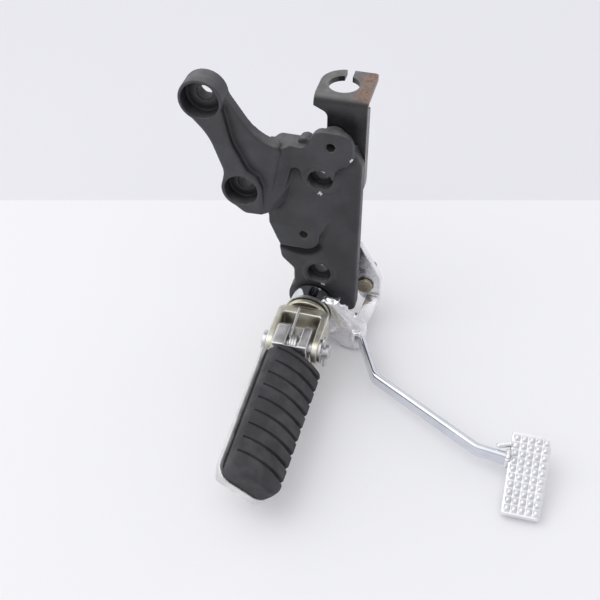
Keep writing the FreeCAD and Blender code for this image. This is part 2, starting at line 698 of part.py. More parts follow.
def clevis_pin():
    """Headed pin with a hole for the split pin."""
    left = PIVOT_X - CLEVIS_WIDTH / 2
    tail = pin_end() + PIN_TAIL
    pin = rod_x(pin_y, pin_z, PIN, left - PIN_HEAD_THICK, tail)
    head = rod_x(pin_y, pin_z, PIN_HEAD, left - PIN_HEAD_THICK, left)
    head = head.makeFillet(0.8, edges_at(head, 0, left - PIN_HEAD_THICK))
    pin = pin.makeChamfer(0.8, edges_at(pin, 0, tail)).fuse(head)
    return pin.cut(split_pin_hole()).removeSplitter()


def split_pin_place():
    """Centre of the split pin's hole."""
    return V(pin_end() + SPLIT_PIN / 2 + FREE, pin_y, pin_z)


def split_pin_hole():
    """Cross hole for the split pin."""
    centre = split_pin_place()
    return Part.makeCylinder(SPLIT_PIN / 2 + RUNNING, 2 * PIN, centre - V(0, 0, PIN), ALONG_Z)


def pin_washer():
    """Washer between the clevis and the split pin."""
    start = PIVOT_X + CLEVIS_WIDTH / 2 + FREE / 4
    ring = rod_x(pin_y, pin_z, PIN_WASHER, start, start + PIN_WASHER_THICK)
    return ring.cut(rod_x(pin_y, pin_z, PIN + 2 * BOLT_FREE, start - 1, start + PIN_WASHER_THICK + 1))


def split_pin():
    """Split pin: eye above the clevis pin, legs spread below it."""
    centre = split_pin_place()
    top = PIN / 2 + 0.8
    leg_foot = centre + V(0, 0, top - SPLIT_PIN_LENGTH)
    leg = Part.makeCylinder(SPLIT_PIN / 2, SPLIT_PIN_LENGTH, leg_foot, ALONG_Z)
    eye_middle = centre + V(0, 0, top + SPLIT_EYE_RADIUS)
    eye = Part.makeTorus(SPLIT_EYE_RADIUS, SPLIT_PIN * 0.38, eye_middle, ALONG_X)
    return leg.fuse(eye).removeSplitter()


# Torsion spring

def footrest_spring():
    """Torsion spring: coil round the pin, one leg on the clevis wall, one in the footrest."""
    radius = (SPRING_INNER + SPRING_WIRE) / 2
    pitch = (SPRING_SLOT - 2 * SPRING_SIDE_PLAY - SPRING_WIRE) / SPRING_TURNS
    start = slot_left + SPRING_SIDE_PLAY + SPRING_WIRE / 2
    helix = Part.makeHelix(pitch, pitch * SPRING_TURNS, radius)
    section = Part.Wire(Part.Circle(V(radius, 0, 0), ALONG_Y, SPRING_WIRE / 2).toShape())
    coil = Part.Wire(helix).makePipeShell([section], True, True)
    coil.rotate(ORIGIN, ALONG_Y, 90)
    coil.translate(V(start, pin_y, pin_z))
    wall_top = PIVOT_Z + CLEVIS_TOP_RISE + SPRING_WIRE / 2 + FREE
    leg_from = V(start, pin_y, pin_z + radius)
    leg_to = V(start, clevis_wall + 3, wall_top)
    reach = leg_to - leg_from
    back_leg = Part.makeCylinder(SPRING_WIRE / 2, reach.Length, leg_from, reach)
    return coil.fuse([back_leg, spring_leg(0)])


def spring_leg(clearance):
    """Front leg of the spring, or the pocket it stands in."""
    radius = (SPRING_INNER + SPRING_WIRE) / 2
    x = slot_right - SPRING_SIDE_PLAY - SPRING_WIRE / 2
    return Part.makeCylinder(SPRING_WIRE / 2 + clearance, radius + 2 + clearance, V(x, pin_y - radius, pin_z),
                             V(0, 0, -1))


# Footrest

def rest_section(width, y, drop, rise, crown):
    """Closed outline across the footrest at one depth, with a crowned top."""
    half = width / 2
    foot = half - 4.5
    points = [V(-foot, y, -drop), V(foot, y, -drop), V(half, y, -drop + 4),
              V(half, y, rise), V(-half, y, rise), V(-half, y, -drop + 4)]
    edges = [Part.LineSegment(points[0], points[1]).toShape(),
             Part.LineSegment(points[1], points[2]).toShape(),
             Part.LineSegment(points[2], points[3]).toShape()]
    if crown > rise:
        edges.append(Part.Arc(points[3], V(0, y, crown), points[4]).toShape())
    else:
        edges.append(Part.LineSegment(points[3], points[4]).toShape())
    edges.append(Part.LineSegment(points[4], points[5]).toShape())
    edges.append(Part.LineSegment(points[5], points[0]).toShape())
    return Part.Wire(edges)


def rest_width(y):
    """Width of the footrest at one depth, tapering outwards."""
    share = (rest_inner - y) / REST_LENGTH
    return REST_WIDTH_IN + (REST_WIDTH_OUT - REST_WIDTH_IN) * share


def rest_loft(inset, y_from, y_to, drop, rise, crown):
    """Tapered bar of the footrest's section, drawn in by an inset on each side."""
    wires = [rest_section(rest_width(y) - 2 * inset, y, drop, rise, crown) for y in (y_from, y_to)]
    return Part.makeLoft(wires, True, True)


def rest_plan(inset, y_from, y_to, round_near, round_hinge):
    """Upright prism over the footrest's plan, with rounded corners at its ends."""
    near = rest_width(y_from) / 2 - inset
    far = rest_width(y_to) / 2 - inset
    corners = [
        (-near, y_from, round_near),
        (near, y_from, round_hinge),
        (far, y_to, REST_END_ROUND),
        (-far, y_to, REST_END_ROUND),
    ]
    face = Part.Face(rounded_wire(corners, lambda x, y: V(x, y, -2 * RUBBER_CROWN)))
    return face.extrude(V(0, 0, 4 * RUBBER_CROWN))


def rolled(solid):
    """Turn a piece drawn level about the pivot axis into the footrest's roll."""
    turned = solid.copy()
    turned.rotate(ORIGIN, ALONG_Y, REST_ROLL)
    turned.translate(V(PIVOT_X, 0, PIVOT_Z))
    return turned


def rubber_inner():
    """Depth where the rubber starts."""
    return rest_inner - FREE


def rubber_outer():
    """Depth where the rubber ends, inside the tray's end wall."""
    return rest_outer + TRAY_END_WALL


def screw_depths():
    """Depths of the screws that hold the rubber."""
    middle = (rubber_inner() + rubber_outer()) / 2
    return [middle - RUBBER_SCREW_SPACING / 2, middle + RUBBER_SCREW_SPACING / 2]


def footrest_body():
    """Cast footrest: tray, end walls, ears round the pin, and the heel that stops it."""
    tray = rest_loft(0, rest_inner, rest_outer, TRAY_FLOOR_DROP, -TRAY_RIM_DROP, -TRAY_RIM_DROP)
    tray = tray.common(rest_plan(0, rest_inner, rest_outer, 0, 0))
    side = Part.Face(rounded_wire([
        (rest_inner, -TRAY_FLOOR_DROP, 0), (rest_inner, 0, 0), (rest_outer, 0, 0),
        (rest_outer, -TRAY_FLOOR_DROP, REST_NOSE_ROUND),
    ], lambda y, z: V(-REST_WIDTH_IN, y, z))).extrude(V(2 * REST_WIDTH_IN, 0, 0))
    tray = tray.common(side)
    hollow = rest_loft(TRAY_WALL, rest_inner + 1, rubber_outer(), TRAY_FLOOR_DROP - TRAY_FLOOR, 0, 0)
    hollow = hollow.common(rest_plan(TRAY_WALL, rest_inner + 1, rubber_outer(), 0, 0))
    tray = tray.cut(hollow)
    wall = rest_loft(WALL_INSET, rest_wall, rest_inner, TRAY_FLOOR_DROP - 1,
                     TRAY_END_RISE, TRAY_END_RISE + 2.5)
    tray = rolled(tray.fuse(wall))
    right = slot_right + EAR_RIGHT_WIDTH
    outline = [
        (rest_inner + 1, pin_z - HEEL_FOOT_DROP, 0),
        (rest_inner + 1, pin_z + EAR_TOP_RISE, 0),
        (pin_y + EAR_BACK_REACH / 2, pin_z + EAR_TOP_RISE, 6),
        (pin_y + EAR_BACK_REACH, pin_z + 1, 4),
        (pin_y + EAR_BACK_REACH, pin_z - HEEL_TOP_DROP, 1.2),
        (clevis_wall - FREE, pin_z - HEEL_TOP_DROP - 0.5, 1.2),
        (clevis_wall - FREE, pin_z - HEEL_FOOT_DROP, 1.5),
    ]
    ears = Part.Face(rounded_wire(outline, lambda y, z: V(ear_left, y, z)))
    ears = ears.extrude(V(right - ear_left, 0, 0))
    heel_end = clevis_wall - FREE
    plan = Part.Face(rounded_wire([
        (ear_left, rest_inner, 0), (right, rest_inner, 0), (right, heel_end, CLEVIS_ROOT + FREE),
        (ear_left, heel_end, CLEVIS_ROOT + FREE),
    ], lambda x, y: V(x, y, pin_z - 2 * HEEL_FOOT_DROP))).extrude(V(0, 0, 4 * HEEL_FOOT_DROP))
    ears = ears.common(plan)
    coil_room = SPRING_INNER + 2 * SPRING_WIRE + 2.0
    slot = rod_x(pin_y, pin_z, coil_room, slot_left, slot_right)
    slot = slot.fuse(block(slot_left, slot_right, pin_y - coil_room / 2, clevis_wall + 1,
                           pin_z, pin_z + coil_room))
    pin_hole = rod_x(pin_y, pin_z, PIN + 2 * RUNNING, ear_left - 1, right + 1)
    ears = ears.cut([slot, pin_hole, spring_leg(FREE)])
    body = tray.fuse(ears)
    for y in screw_depths():
        body = body.cut(rolled(Part.makeCylinder(RUBBER_SCREW / 2 + BOLT_FREE, 2 * TRAY_FLOOR,
                                                 V(0, y, -TRAY_FLOOR_DROP - TRAY_FLOOR / 2))))
    return body.removeSplitter()


def footrest_rubber():
    """Rubber with a crowned top, cross grooves open on one side and a plain shoulder on the other."""
    inner = rubber_inner()
    outer = rubber_outer() + FREE
    floor = TRAY_FLOOR_DROP - TRAY_FLOOR - FREE
    plug = rest_loft(TRAY_WALL + FREE, inner, outer, floor, 0, 0)
    plug = plug.common(rest_plan(TRAY_WALL + FREE, inner, outer, 0, 0))
    start = -TRAY_RIM_DROP + FREE
    end = rest_outer + 1.0
    cap = rest_loft(-RUBBER_OVERHANG, inner, end, -start + 0.01, RUBBER_SHOULDER, RUBBER_CROWN)
    cap = cap.common(block(-REST_WIDTH_IN, REST_WIDTH_IN, end - 1, inner + 1, start, 2 * RUBBER_CROWN))
    cap = cap.common(rest_plan(-RUBBER_OVERHANG, inner, end, REST_NEAR_ROUND, REST_HINGE_ROUND))
    rim = [edge for edge in cap.Edges if edge.BoundBox.ZMin > RUBBER_SHOULDER - 0.5]
    cap = cap.makeFillet(RUBBER_EDGE_ROUND, rim)
    core = rest_loft(GROOVE_DEPTH * 0.6, inner, end, -start + 0.01, RUBBER_SHOULDER - GROOVE_DEPTH,
                     RUBBER_CROWN - GROOVE_DEPTH)
    core.rotate(ORIGIN, ALONG_Y, GROOVE_FALL)
    cuts = []
    for index in range(GROOVES):
        y = inner - GROOVE_FIRST - index * GROOVE_PITCH
        left = -REST_WIDTH_IN / 2 + GROOVE_SHOULDER
        groove = Part.Face(rounded_wire([
            (left, y, 0),
            (left, y - GROOVE_START, 0),
            (REST_WIDTH_IN / 2, y - GROOVE_WIDTH, 0),
            (REST_WIDTH_IN, y - GROOVE_WIDTH, 0),
            (REST_WIDTH_IN, y, 0),
        ], lambda x, depth: V(x, depth, start + 1))).extrude(V(0, 0, 2 * RUBBER_CROWN))
        cuts.append(groove.cut(core))
    body = cap.cut(cuts).fuse(plug)
    screw_reach = RUBBER_SCREW_BITE + TRAY_FLOOR
    for y in screw_depths():
        body = body.cut(Part.makeCylinder(RUBBER_SCREW / 2, screw_reach, V(0, y, -TRAY_FLOOR_DROP)))
    return rolled(body.removeSplitter())


def rubber_screws():
    """Two screws under the tray that hold the rubber."""
    screws = []
    seat = -TRAY_FLOOR_DROP
    reach = TRAY_FLOOR + RUBBER_SCREW_BITE - FREE
    for y in screw_depths():
        shank = Part.makeCylinder(RUBBER_SCREW / 2 - RUNNING, reach, V(0, y, seat))
        head = Part.makeCylinder(RUBBER_SCREW_HEAD / 2, RUBBER_SCREW_HEAD_HEIGHT,
                                 V(0, y, seat - RUBBER_SCREW_HEAD_HEIGHT))
        head = head.makeFillet(1.0, edges_at(head, 2, seat - RUBBER_SCREW_HEAD_HEIGHT))
        screws.append(rolled(shank.fuse(head).removeSplitter()))
    return Part.makeCompound(screws)


# Brake pedal

def pedal_tube():
    """Tube that turns on the clevis shank."""
    return washer_y(PIVOT_X, PIVOT_Z, TUBE, SHANK + 2 * RUNNING + 2 * BUSH_WALL,
                    tube_front + BUSH_FLANGE_THICK, tube_back - BUSH_FLANGE_THICK)


def pedal_bushes():
    """Two flanged bushes, one pressed into each end of the tube."""
    bore = SHANK + 2 * RUNNING
    outer = bore + 2 * BUSH_WALL
    length = (tube_back - tube_front) / 2 - BUSH_FLANGE_THICK
    bushes = []
    for end, way in ((tube_front, 1), (tube_back, -1)):
        flange = sorted((end, end + way * BUSH_FLANGE_THICK))
        sleeve = sorted((end + way * BUSH_FLANGE_THICK, end + way * length))
        bush = rod_y(PIVOT_X, PIVOT_Z, BUSH_FLANGE, *flange).fuse(rod_y(PIVOT_X, PIVOT_Z, outer, *sleeve))
        bushes.append(bush.cut(rod_y(PIVOT_X, PIVOT_Z, bore, tube_front - 1, tube_back + 1)).removeSplitter())
    return Part.makeCompound(bushes)


def pedal_root():
    """Plate welded to the side of the tube, from which the arm and the strap leave."""
    right = strap_right
    outline = [
        (PIVOT_X + 7.5, PIVOT_Z + ROOT_TOP_RISE, 0),
        (PIVOT_X + 14.5, PIVOT_Z + ROOT_TOP_RISE, 3),
        (right, bar_top + 0.5, 3),
        (right, PIVOT_Z - ROOT_FOOT_DROP, 5),
        (PIVOT_X + 17.0, PIVOT_Z - ROOT_FOOT_DROP + 1.0, 12),
        (PIVOT_X + 7.5, PIVOT_Z - 11.0, 0),
    ]
    root = slab(outline, root_front, root_back)
    lobe_foot = PIVOT_Z - ROOT_LOBE_DROP
    lobe = soft_front(slab([
        (PIVOT_X + 12.0, lobe_foot + 7.0, 0),
        (PIVOT_X + 22.0, lobe_foot, 9),
        (right, lobe_foot, 5),
        (right, bar_top + 0.5, 3),
        (PIVOT_X + 19.0, PIVOT_Z - 3.0, 4),
    ], root_front - ROOT_LOBE_REACH, root_back), root_front - ROOT_LOBE_REACH, 2.0)
    room = THRUST_WASHER / 2 + 6.0
    lobe = lobe.cut(rod_y(PIVOT_X, PIVOT_Z, 2 * room, root_front - ROOT_LOBE_REACH - 1, root_back + 1))
    slant = Part.Face(rounded_wire([
        (PIVOT_X + 9.0, root_front, 0),
        (PIVOT_X + 27.0, root_front - ROOT_LOBE_REACH, 0),
        (PIVOT_X + 27.0, root_front - 2 * ROOT_LOBE_REACH, 0),
        (PIVOT_X + 9.0, root_front - 2 * ROOT_LOBE_REACH, 0),
    ], lambda x, y: V(x, y, lobe_foot - 1))).extrude(V(0, 0, 2 * ROOT_LOBE_DROP))
    tube_room = rod_y(PIVOT_X, PIVOT_Z, TUBE + 2 * WELD_GAP, root_front - 1, root_back + 1)
    return root.fuse(lobe.cut(slant)).cut(tube_room).removeSplitter()


def bar_along(route, bend):
    """Flat bar on edge along a level route of points, with round bends."""
    half = BAR_THICK / 2
    sides = []
    for way in (1, -1):
        side = []
        for index, point in enumerate(route):
            before = route[max(index - 1, 0)]
            after = route[min(index + 1, len(route) - 1)]
            first = (point - before) if index > 0 else (after - point)
            second = (after - point) if index < len(route) - 1 else first
            first.normalize()
            second.normalize()
            normal_one = V(-first.y, first.x, 0)
            normal_two = V(-second.y, second.x, 0)
            mitre = normal_one + normal_two
            mitre = mitre * (way * half * 2 / mitre.dot(mitre))
            turn = first.x * second.y - first.y * second.x
            radius = 0 if abs(turn) < 1e-6 else bend - way * half * math.copysign(1, turn)
            side.append((point.x + mitre.x, point.y + mitre.y, radius))
        sides.append(side)
    outline = sides[0] + sides[1][::-1]
    return Part.Face(rounded_wire(outline, lambda x, y: V(x, y, bar_foot))).extrude(V(0, 0, BAR_HEIGHT))


def pedal_arm():
    """Flat bar from the root plate, out past the footrest and on to the foot pad."""
    start_x = strap_left + BAR_THICK / 2 + 1.5
    bend_one = V(bend_one_x, bend_one_y, 0)
    bend_two = V(bend_two_x, bend_two_y, 0)
    end = V(pad_left + BAR_THICK, bend_two_y - BAR_END_DRIFT, 0)
    start = V(start_x - 2.0, root_front + ROOT_THICK, 0)
    bar = bar_along([start, bend_one, bend_two, end], BAR_BEND)
    at_root = block(start_x - BEND_ONE_AHEAD, start_x + BEND_ONE_AHEAD, arm_root, arm_root + BEND_ONE_AHEAD,
                    bar_foot - 1, bar_top + 1)
    at_pad = block(pad_left - WELD_GAP, foot_pad_x, foot_pad_y - FOOT_PAD_LENGTH,
                   foot_pad_y + FOOT_PAD_LENGTH, bar_foot - 1, bar_top + 1)
    bar = bar.cut([at_root, at_pad])
    rims = edges_at(bar, 2, bar_top) + edges_at(bar, 2, bar_foot)
    return bar.makeFillet(BAR_EDGE_ROUND, [edge for edge in rims if edge.Length > 1.2 * BAR_THICK])


def foot_pad():
    """Foot pad with rows of blunt pyramids, tilted down at its outer end."""
    half_width = FOOT_PAD_WIDTH / 2
    half_length = FOOT_PAD_LENGTH / 2
    plate_top = FOOT_PAD_THICK
    pad = Part.Face(rounded_wire([
        (-half_width, -half_length, 1.5), (half_width, -half_length, 1.5),
        (half_width + FOOT_PAD_LIP / 2, half_length - 4, 6), (half_width - 1, half_length + FOOT_PAD_LIP, 6),
        (-half_width, half_length + FOOT_PAD_LIP, 1.5),
    ], lambda x, y: V(x, y, 0))).extrude(V(0, 0, plate_top))

    def teeth(count, half, across, place, sweep):
        """Prism with a row of blunt teeth along one direction."""
        pitch = 2 * (half - FOOT_PAD_EDGE) / count
        slope = (pitch - TOOTH_TOP) / 2
        points = [(-half + FOOT_PAD_EDGE, plate_top - 1)]
        for index in range(count):
            left = -half + FOOT_PAD_EDGE + index * pitch
            points += [(left, plate_top), (left + slope, plate_top + TOOTH_HEIGHT),
                       (left + slope + TOOTH_TOP, plate_top + TOOTH_HEIGHT)]
        points += [(half - FOOT_PAD_EDGE, plate_top), (half - FOOT_PAD_EDGE, plate_top - 1)]
        wire = rounded_wire([(a, b, 0) for a, b in points], lambda a, b: place(a, b, -across))
        return Part.Face(wire).extrude(sweep * (2 * across))

    files = teeth(TOOTH_FILES, half_width, half_length - FOOT_PAD_EDGE, lambda a, b, c: V(a, c, b), ALONG_Y)
    rows = teeth(TOOTH_ROWS, half_length, half_width - FOOT_PAD_EDGE, lambda a, b, c: V(c, a, b), ALONG_X)
    pad = pad.fuse(files.common(rows)).removeSplitter()
    pad.translate(V(0, 0, -plate_top - TOOTH_HEIGHT))
    pad.rotate(ORIGIN, ALONG_X, FOOT_PAD_TILT)
    pad.translate(V(foot_pad_x, foot_pad_y, PIVOT_Z - FOOT_PAD_DROP))
    return pad


def rear_lever():
    """Strap round the front edge of the plate, bent up into the lever behind it."""
    strap = Part.Face(rounded_wire([
        (strap_left, root_back, 0),
        (strap_right, root_back, 0),
        (strap_right + STRAP_DRIFT, lever_back, 0),
        (strap_left + STRAP_DRIFT, lever_back, 0),
    ], lambda x, y: V(x, y, strap_foot))).extrude(V(0, 0, BAR_THICK))
    pin_x = PIVOT_X + LEVER_PIN_X
    outline = [
        (strap_left + STRAP_DRIFT - 3.0, strap_foot, 3),
        (strap_right + STRAP_DRIFT, strap_foot, 4),
        (pin_x + 9.4, PIVOT_Z + 6.0, 9),
        around(PIVOT_X + LEVER_END_X, PIVOT_Z + LEVER_END_RISE, LEVER_END_RADIUS * 1.2, 62) + (5,),
        around(PIVOT_X + LEVER_END_X, PIVOT_Z + LEVER_END_RISE, LEVER_END_RADIUS * 1.2, 150) + (4,),
        around(PIVOT_X + LEVER_END_X, PIVOT_Z + LEVER_END_RISE, LEVER_END_RADIUS * 1.2, 220) + (4,),
        (pin_x - 7.4, PIVOT_Z - 2.0, 12),
    ]
    lever = slab(outline, lever_front, lever_back)
    pin_z_level = PIVOT_Z - LEVER_PIN_DROP
    end_x = PIVOT_X + LEVER_END_X
    end_z = PIVOT_Z + LEVER_END_RISE
    holes = [
        rod_y(pin_x, pin_z_level, LEVER_PIN_SHANK + 2 * RUNNING, lever_front - 1, lever_back + 1),
        rod_y(end_x, end_z, LEVER_END_HOLE, lever_front - 1, lever_back + 1),
    ]
    return lever.fuse(strap).cut(holes).removeSplitter()


def lever_pin():
    """Headed pin for the brake rod, with a clip groove near its end."""
    x = PIVOT_X + LEVER_PIN_X
    z = PIVOT_Z - LEVER_PIN_DROP
    end = lever_back + LEVER_PIN_REACH
    head = rod_y(x, z, LEVER_PIN_HEAD, lever_front - LEVER_PIN_HEAD_THICK, lever_front)
    head = head.makeFillet(0.8, edges_at(head, 1, lever_front - LEVER_PIN_HEAD_THICK))
    shank = rod_y(x, z, LEVER_PIN_SHANK, lever_front, lever_back + LEVER_PIN_COLLAR)
    pin = head.fuse([shank, rod_y(x, z, LEVER_PIN, lever_front, end)]).removeSplitter()
    groove = washer_y(x, z, LEVER_PIN + 1, LEVER_PIN - LEVER_PIN_GROOVE, end - 3.0, end - 2.0)
    return pin.cut(groove)


def main():
    """Build every piece and write one file for each."""
    pieces = {
        "bracket_casting": bracket_casting(),
        "guide_tab": guide_tab(),
        "tab_bolts": tab_bolts(),
        "footrest_clevis": footrest_clevis(),
        "dust_seal": dust_seal(),
        "thrust_washers": thrust_washers(),
        "stud_washer": stud_washer(),
        "stud_nut": stud_nut(),
        "clevis_pin": clevis_pin(),
        "pin_washer": pin_washer(),
        "split_pin": split_pin(),
        "footrest_spring": footrest_spring(),
        "footrest_body": footrest_body(),
        "footrest_rubber": footrest_rubber(),
        "rubber_screws": rubber_screws(),
        "pedal_tube": pedal_tube(),
        "pedal_bushes": pedal_bushes(),
        "pedal_root": pedal_root(),
        "pedal_arm": pedal_arm(),
        "foot_pad": foot_pad(),
        "rear_lever": rear_lever(),
        "lever_pin": lever_pin(),
    }
    os.makedirs("parts", exist_ok=True)
    for name, shape in pieces.items():
        box = shape.BoundBox
        print(name, "solids", len(shape.Solids), "valid", shape.isValid(), "volume", round(shape.Volume, 1),
              "x", round(box.XMin, 1), round(box.XMax, 1), "y", round(box.YMin, 1), round(box.YMax, 1),
              "z", round(box.ZMin, 1), round(box.ZMax, 1))
        shape.exportStep("parts/" + name + ".step")


main()
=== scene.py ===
"""Looks of a motorbike footrest bracket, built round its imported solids. Metres, in the part's frame."""

import logging
import math
import random
from dataclasses import dataclass
from enum import Enum
from typing import Optional, Sequence, Union

import bmesh
import bpy
from mathutils import Matrix, Vector


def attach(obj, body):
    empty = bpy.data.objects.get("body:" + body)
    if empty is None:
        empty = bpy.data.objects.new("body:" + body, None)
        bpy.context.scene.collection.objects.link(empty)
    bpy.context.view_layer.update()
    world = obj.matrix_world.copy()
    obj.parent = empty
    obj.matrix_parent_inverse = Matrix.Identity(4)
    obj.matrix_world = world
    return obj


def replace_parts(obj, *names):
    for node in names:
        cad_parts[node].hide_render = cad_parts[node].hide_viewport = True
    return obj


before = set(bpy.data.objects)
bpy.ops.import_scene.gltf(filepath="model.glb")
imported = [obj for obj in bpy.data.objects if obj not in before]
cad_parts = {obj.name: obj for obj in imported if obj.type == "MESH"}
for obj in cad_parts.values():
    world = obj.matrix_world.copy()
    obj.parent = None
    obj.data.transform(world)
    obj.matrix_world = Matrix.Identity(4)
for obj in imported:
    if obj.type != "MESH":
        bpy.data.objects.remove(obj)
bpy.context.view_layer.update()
LOG = logging.getLogger("footrest_bracket")
MM = 0.001
PHOTO_SIDE = 600
FOCAL_PIXELS = 1000.0
MERGE_REACH = 1e-6
ROD_SIDES = 72
Colour = tuple[float, float, float]
Point = tuple[float, float, float]
Socket = bpy.types.NodeSocket
Shape = bmesh.types.BMesh
Value = Union[float, Sequence[float], Socket]


class Body(Enum):
    """Bodies of the part that pieces ride on."""

    BRACKET = "bracket"
    FOOTREST = "footrest"
    PEDAL = "pedal"


class Slot(Enum):
    """Material slots of the record."""

    CHROME = "chrome"
    TREAD = "tread_rubber"
    PAINT = "black_paint"
    ZINC = "yellow_zinc"
    ALUMINIUM = "cast_aluminium"


def metres(point: Sequence[float]) -> Vector:
    """Point given in millimetres, as a vector in metres."""
    return Vector(point) * MM


@dataclass(frozen=True)
class Mottle:
    """Noise stepped from one range to another.

    The scale is in features per metre and the detail in octaves.
    The noise values low and high give start and end.
    """

    scale: float
    detail: float = 3.0
    low: float = 0.35
    high: float = 0.65
    start: float = 0.0
    end: float = 1.0


@dataclass(frozen=True)
class Skin:
    """How a piece is skinned: the size of its cells in metres and the rounds of smoothing."""

    voxel: float
    smoothing: int


class Graph:
    """Node tree of one material, with short ways to add what the finishes need."""

    FACES_UP = (0.55, 0.97)
    EDGE_TURN = (0.995, 0.88)
    OPEN_SKY = (0.97, 0.58)
    RAGGED_SCALE = 900.0
    RAGGED_CORE = 0.7

    def __init__(self, name: str) -> None:
        """Start a material.

        Args:
            name: the finish's name.
        """
        self.material = bpy.data.materials.new(name)
        self.material.use_nodes = True
        self.tree = self.material.node_tree
        self.tree.nodes.clear()
        self.shader = self.tree.nodes.new("ShaderNodeBsdfPrincipled")
        output = self.tree.nodes.new("ShaderNodeOutputMaterial")
        self.tree.links.new(self.shader.outputs[0], output.inputs[0])
        self.place = self.tree.nodes.new("ShaderNodeTexCoord").outputs["Object"]

    def put(self, socket: Socket, value: Value) -> None:
        """Link a socket into an input, or set the input's own value.

        Args:
            socket: the input.
            value: a socket, a number or a colour.
        """
        if isinstance(value, Socket):
            self.tree.links.new(value, socket)
        elif hasattr(value, "__len__") and len(value) == 3 and socket.type == "RGBA":
            socket.default_value = (*value, 1.0)
        else:
            socket.default_value = value

    def surface(self, **inputs: Value) -> None:
        """Set the shader's inputs, named with underscores for spaces."""
        for name, value in inputs.items():
            self.put(self.shader.inputs[name.replace("_", " ")], value)

    def noise(self, scale: float, detail: float = 3.0,
              stretch: Point = (1.0, 1.0, 1.0)) -> Socket:
        """Noise on the object's own coordinates.

        Args:
            scale: features per metre.
            detail: octaves.
            stretch: scale of each axis before the noise.

        Returns:
            The noise value, about 0.3 to 0.7.
        """
        mapping = self.tree.nodes.new("ShaderNodeMapping")
        mapping.inputs["Scale"].default_value = stretch
        self.tree.links.new(self.place, mapping.inputs["Vector"])
        node = self.tree.nodes.new("ShaderNodeTexNoise")
        self.tree.links.new(mapping.outputs[0], node.inputs["Vector"])
        node.inputs["Scale"].default_value = scale
        node.inputs["Detail"].default_value = detail
        return node.outputs[0]

    def mottle(self, kind: Mottle) -> Socket:
        """Stepped noise.

        Args:
            kind: its scale and its ranges.

        Returns:
            The stepped value.
        """
        return self.span(self.noise(kind.scale, kind.detail), kind.low, kind.high, kind.start, kind.end)

    def span(self, value: Value, low: float, high: float,
             start: float = 0.0, end: float = 1.0) -> Socket:
        """Smooth step of a value from one range to another.

        Args:
            value: what is stepped.
            low: value that gives start.
            high: value that gives end.
            start: result at low.
            end: result at high.

        Returns:
            The stepped value.
        """
        node = self.tree.nodes.new("ShaderNodeMapRange")
        node.interpolation_type = "SMOOTHSTEP"
        for socket, number in zip(node.inputs, (value, low, high, start, end)):
            self.put(socket, number)
        return node.outputs[0]

    def maths(self, kind: str, first: Value, second: Value) -> Socket:
        """One arithmetic step on two values."""
        node = self.tree.nodes.new("ShaderNodeMath")
        node.operation = kind
        self.put(node.inputs[0], first)
        self.put(node.inputs[1], second)
        return node.outputs[0]

    def times(self, first: Value, second: Value) -> Socket:
        """Product of two values."""
        return self.maths("MULTIPLY", first, second)

    def larger(self, first: Value, second: Value) -> Socket:
        """Larger of two values."""
        return self.maths("MAXIMUM", first, second)

    def vectors(self, kind: str, first: Value, second: Value) -> bpy.types.ShaderNodeVectorMath:
        """One step on two vectors; the node is returned, since the output wanted differs."""
        node = self.tree.nodes.new("ShaderNodeVectorMath")
        node.operation = kind
        self.put(node.inputs[0], first)
        self.put(node.inputs[1], second)
        return node

    def mix(self, share: Value, first: Value, second: Value) -> Socket:
        """Blend two colours by a share."""
        node = self.tree.nodes.new("ShaderNodeMix")
        node.data_type = "RGBA"
        self.put(node.inputs[0], share)
        self.put(node.inputs[6], first)
        self.put(node.inputs[7], second)
        return node.outputs[2]

    def axis(self, name: str) -> Socket:
        """One coordinate, X, Y or Z, of the object's own frame."""
        node = self.tree.nodes.new("ShaderNodeSeparateXYZ")
        self.tree.links.new(self.place, node.inputs[0])
        return node.outputs[name]

    def upward(self) -> Socket:
        """Mask of the faces that look up, where dust settles and light is brightest."""
        node = self.tree.nodes.new("ShaderNodeSeparateXYZ")
        self.tree.links.new(self.tree.nodes.new("ShaderNodeNewGeometry").outputs["Normal"], node.inputs[0])
        return self.span(node.outputs["Z"], *self.FACES_UP)

    def edges(self, radius: float) -> Socket:
        """Mask of the edges, where a rounded normal departs from the true one.

        Args:
            radius: how far from an edge the mask reaches, in metres.

        Returns:
            The mask, 0 on flats and 1 on edges.
        """
        rounded = self.tree.nodes.new("ShaderNodeBevel")
        rounded.samples = 4
        rounded.inputs["Radius"].default_value = radius
        true = self.tree.nodes.new("ShaderNodeNewGeometry").outputs["Normal"]
        turn = self.vectors("DOT_PRODUCT", rounded.outputs[0], true).outputs["Value"]
        return self.span(turn, *self.EDGE_TURN)

    def crevices(self, reach: float) -> Socket:
        """Mask of corners and recesses, for painted shade and, in some finishes, grime.

        Args:
            reach: how far from a wall the mask reaches, in metres.

        Returns:
            The mask, 0 in the open and 1 in a corner.
        """
        node = self.tree.nodes.new("ShaderNodeAmbientOcclusion")
        node.samples = 6
        node.only_local = True
        node.inputs["Distance"].default_value = reach
        return self.span(node.outputs["AO"], *self.OPEN_SKY)

    def spots(self, centres: Sequence[Point], radius: float) -> Socket:
        """Mask of small ragged spots at given points.

        Args:
            centres: points in millimetres.
            radius: spot radius in metres.

        Returns:
            The mask, 1 inside a spot.
        """
        shift = self.noise_vector(self.RAGGED_SCALE, radius)
        ragged = self.vectors("ADD", self.place, shift).outputs[0]
        points = [metres(centre) for centre in centres]
        return self.near(ragged, points, radius, self.RAGGED_CORE * radius)

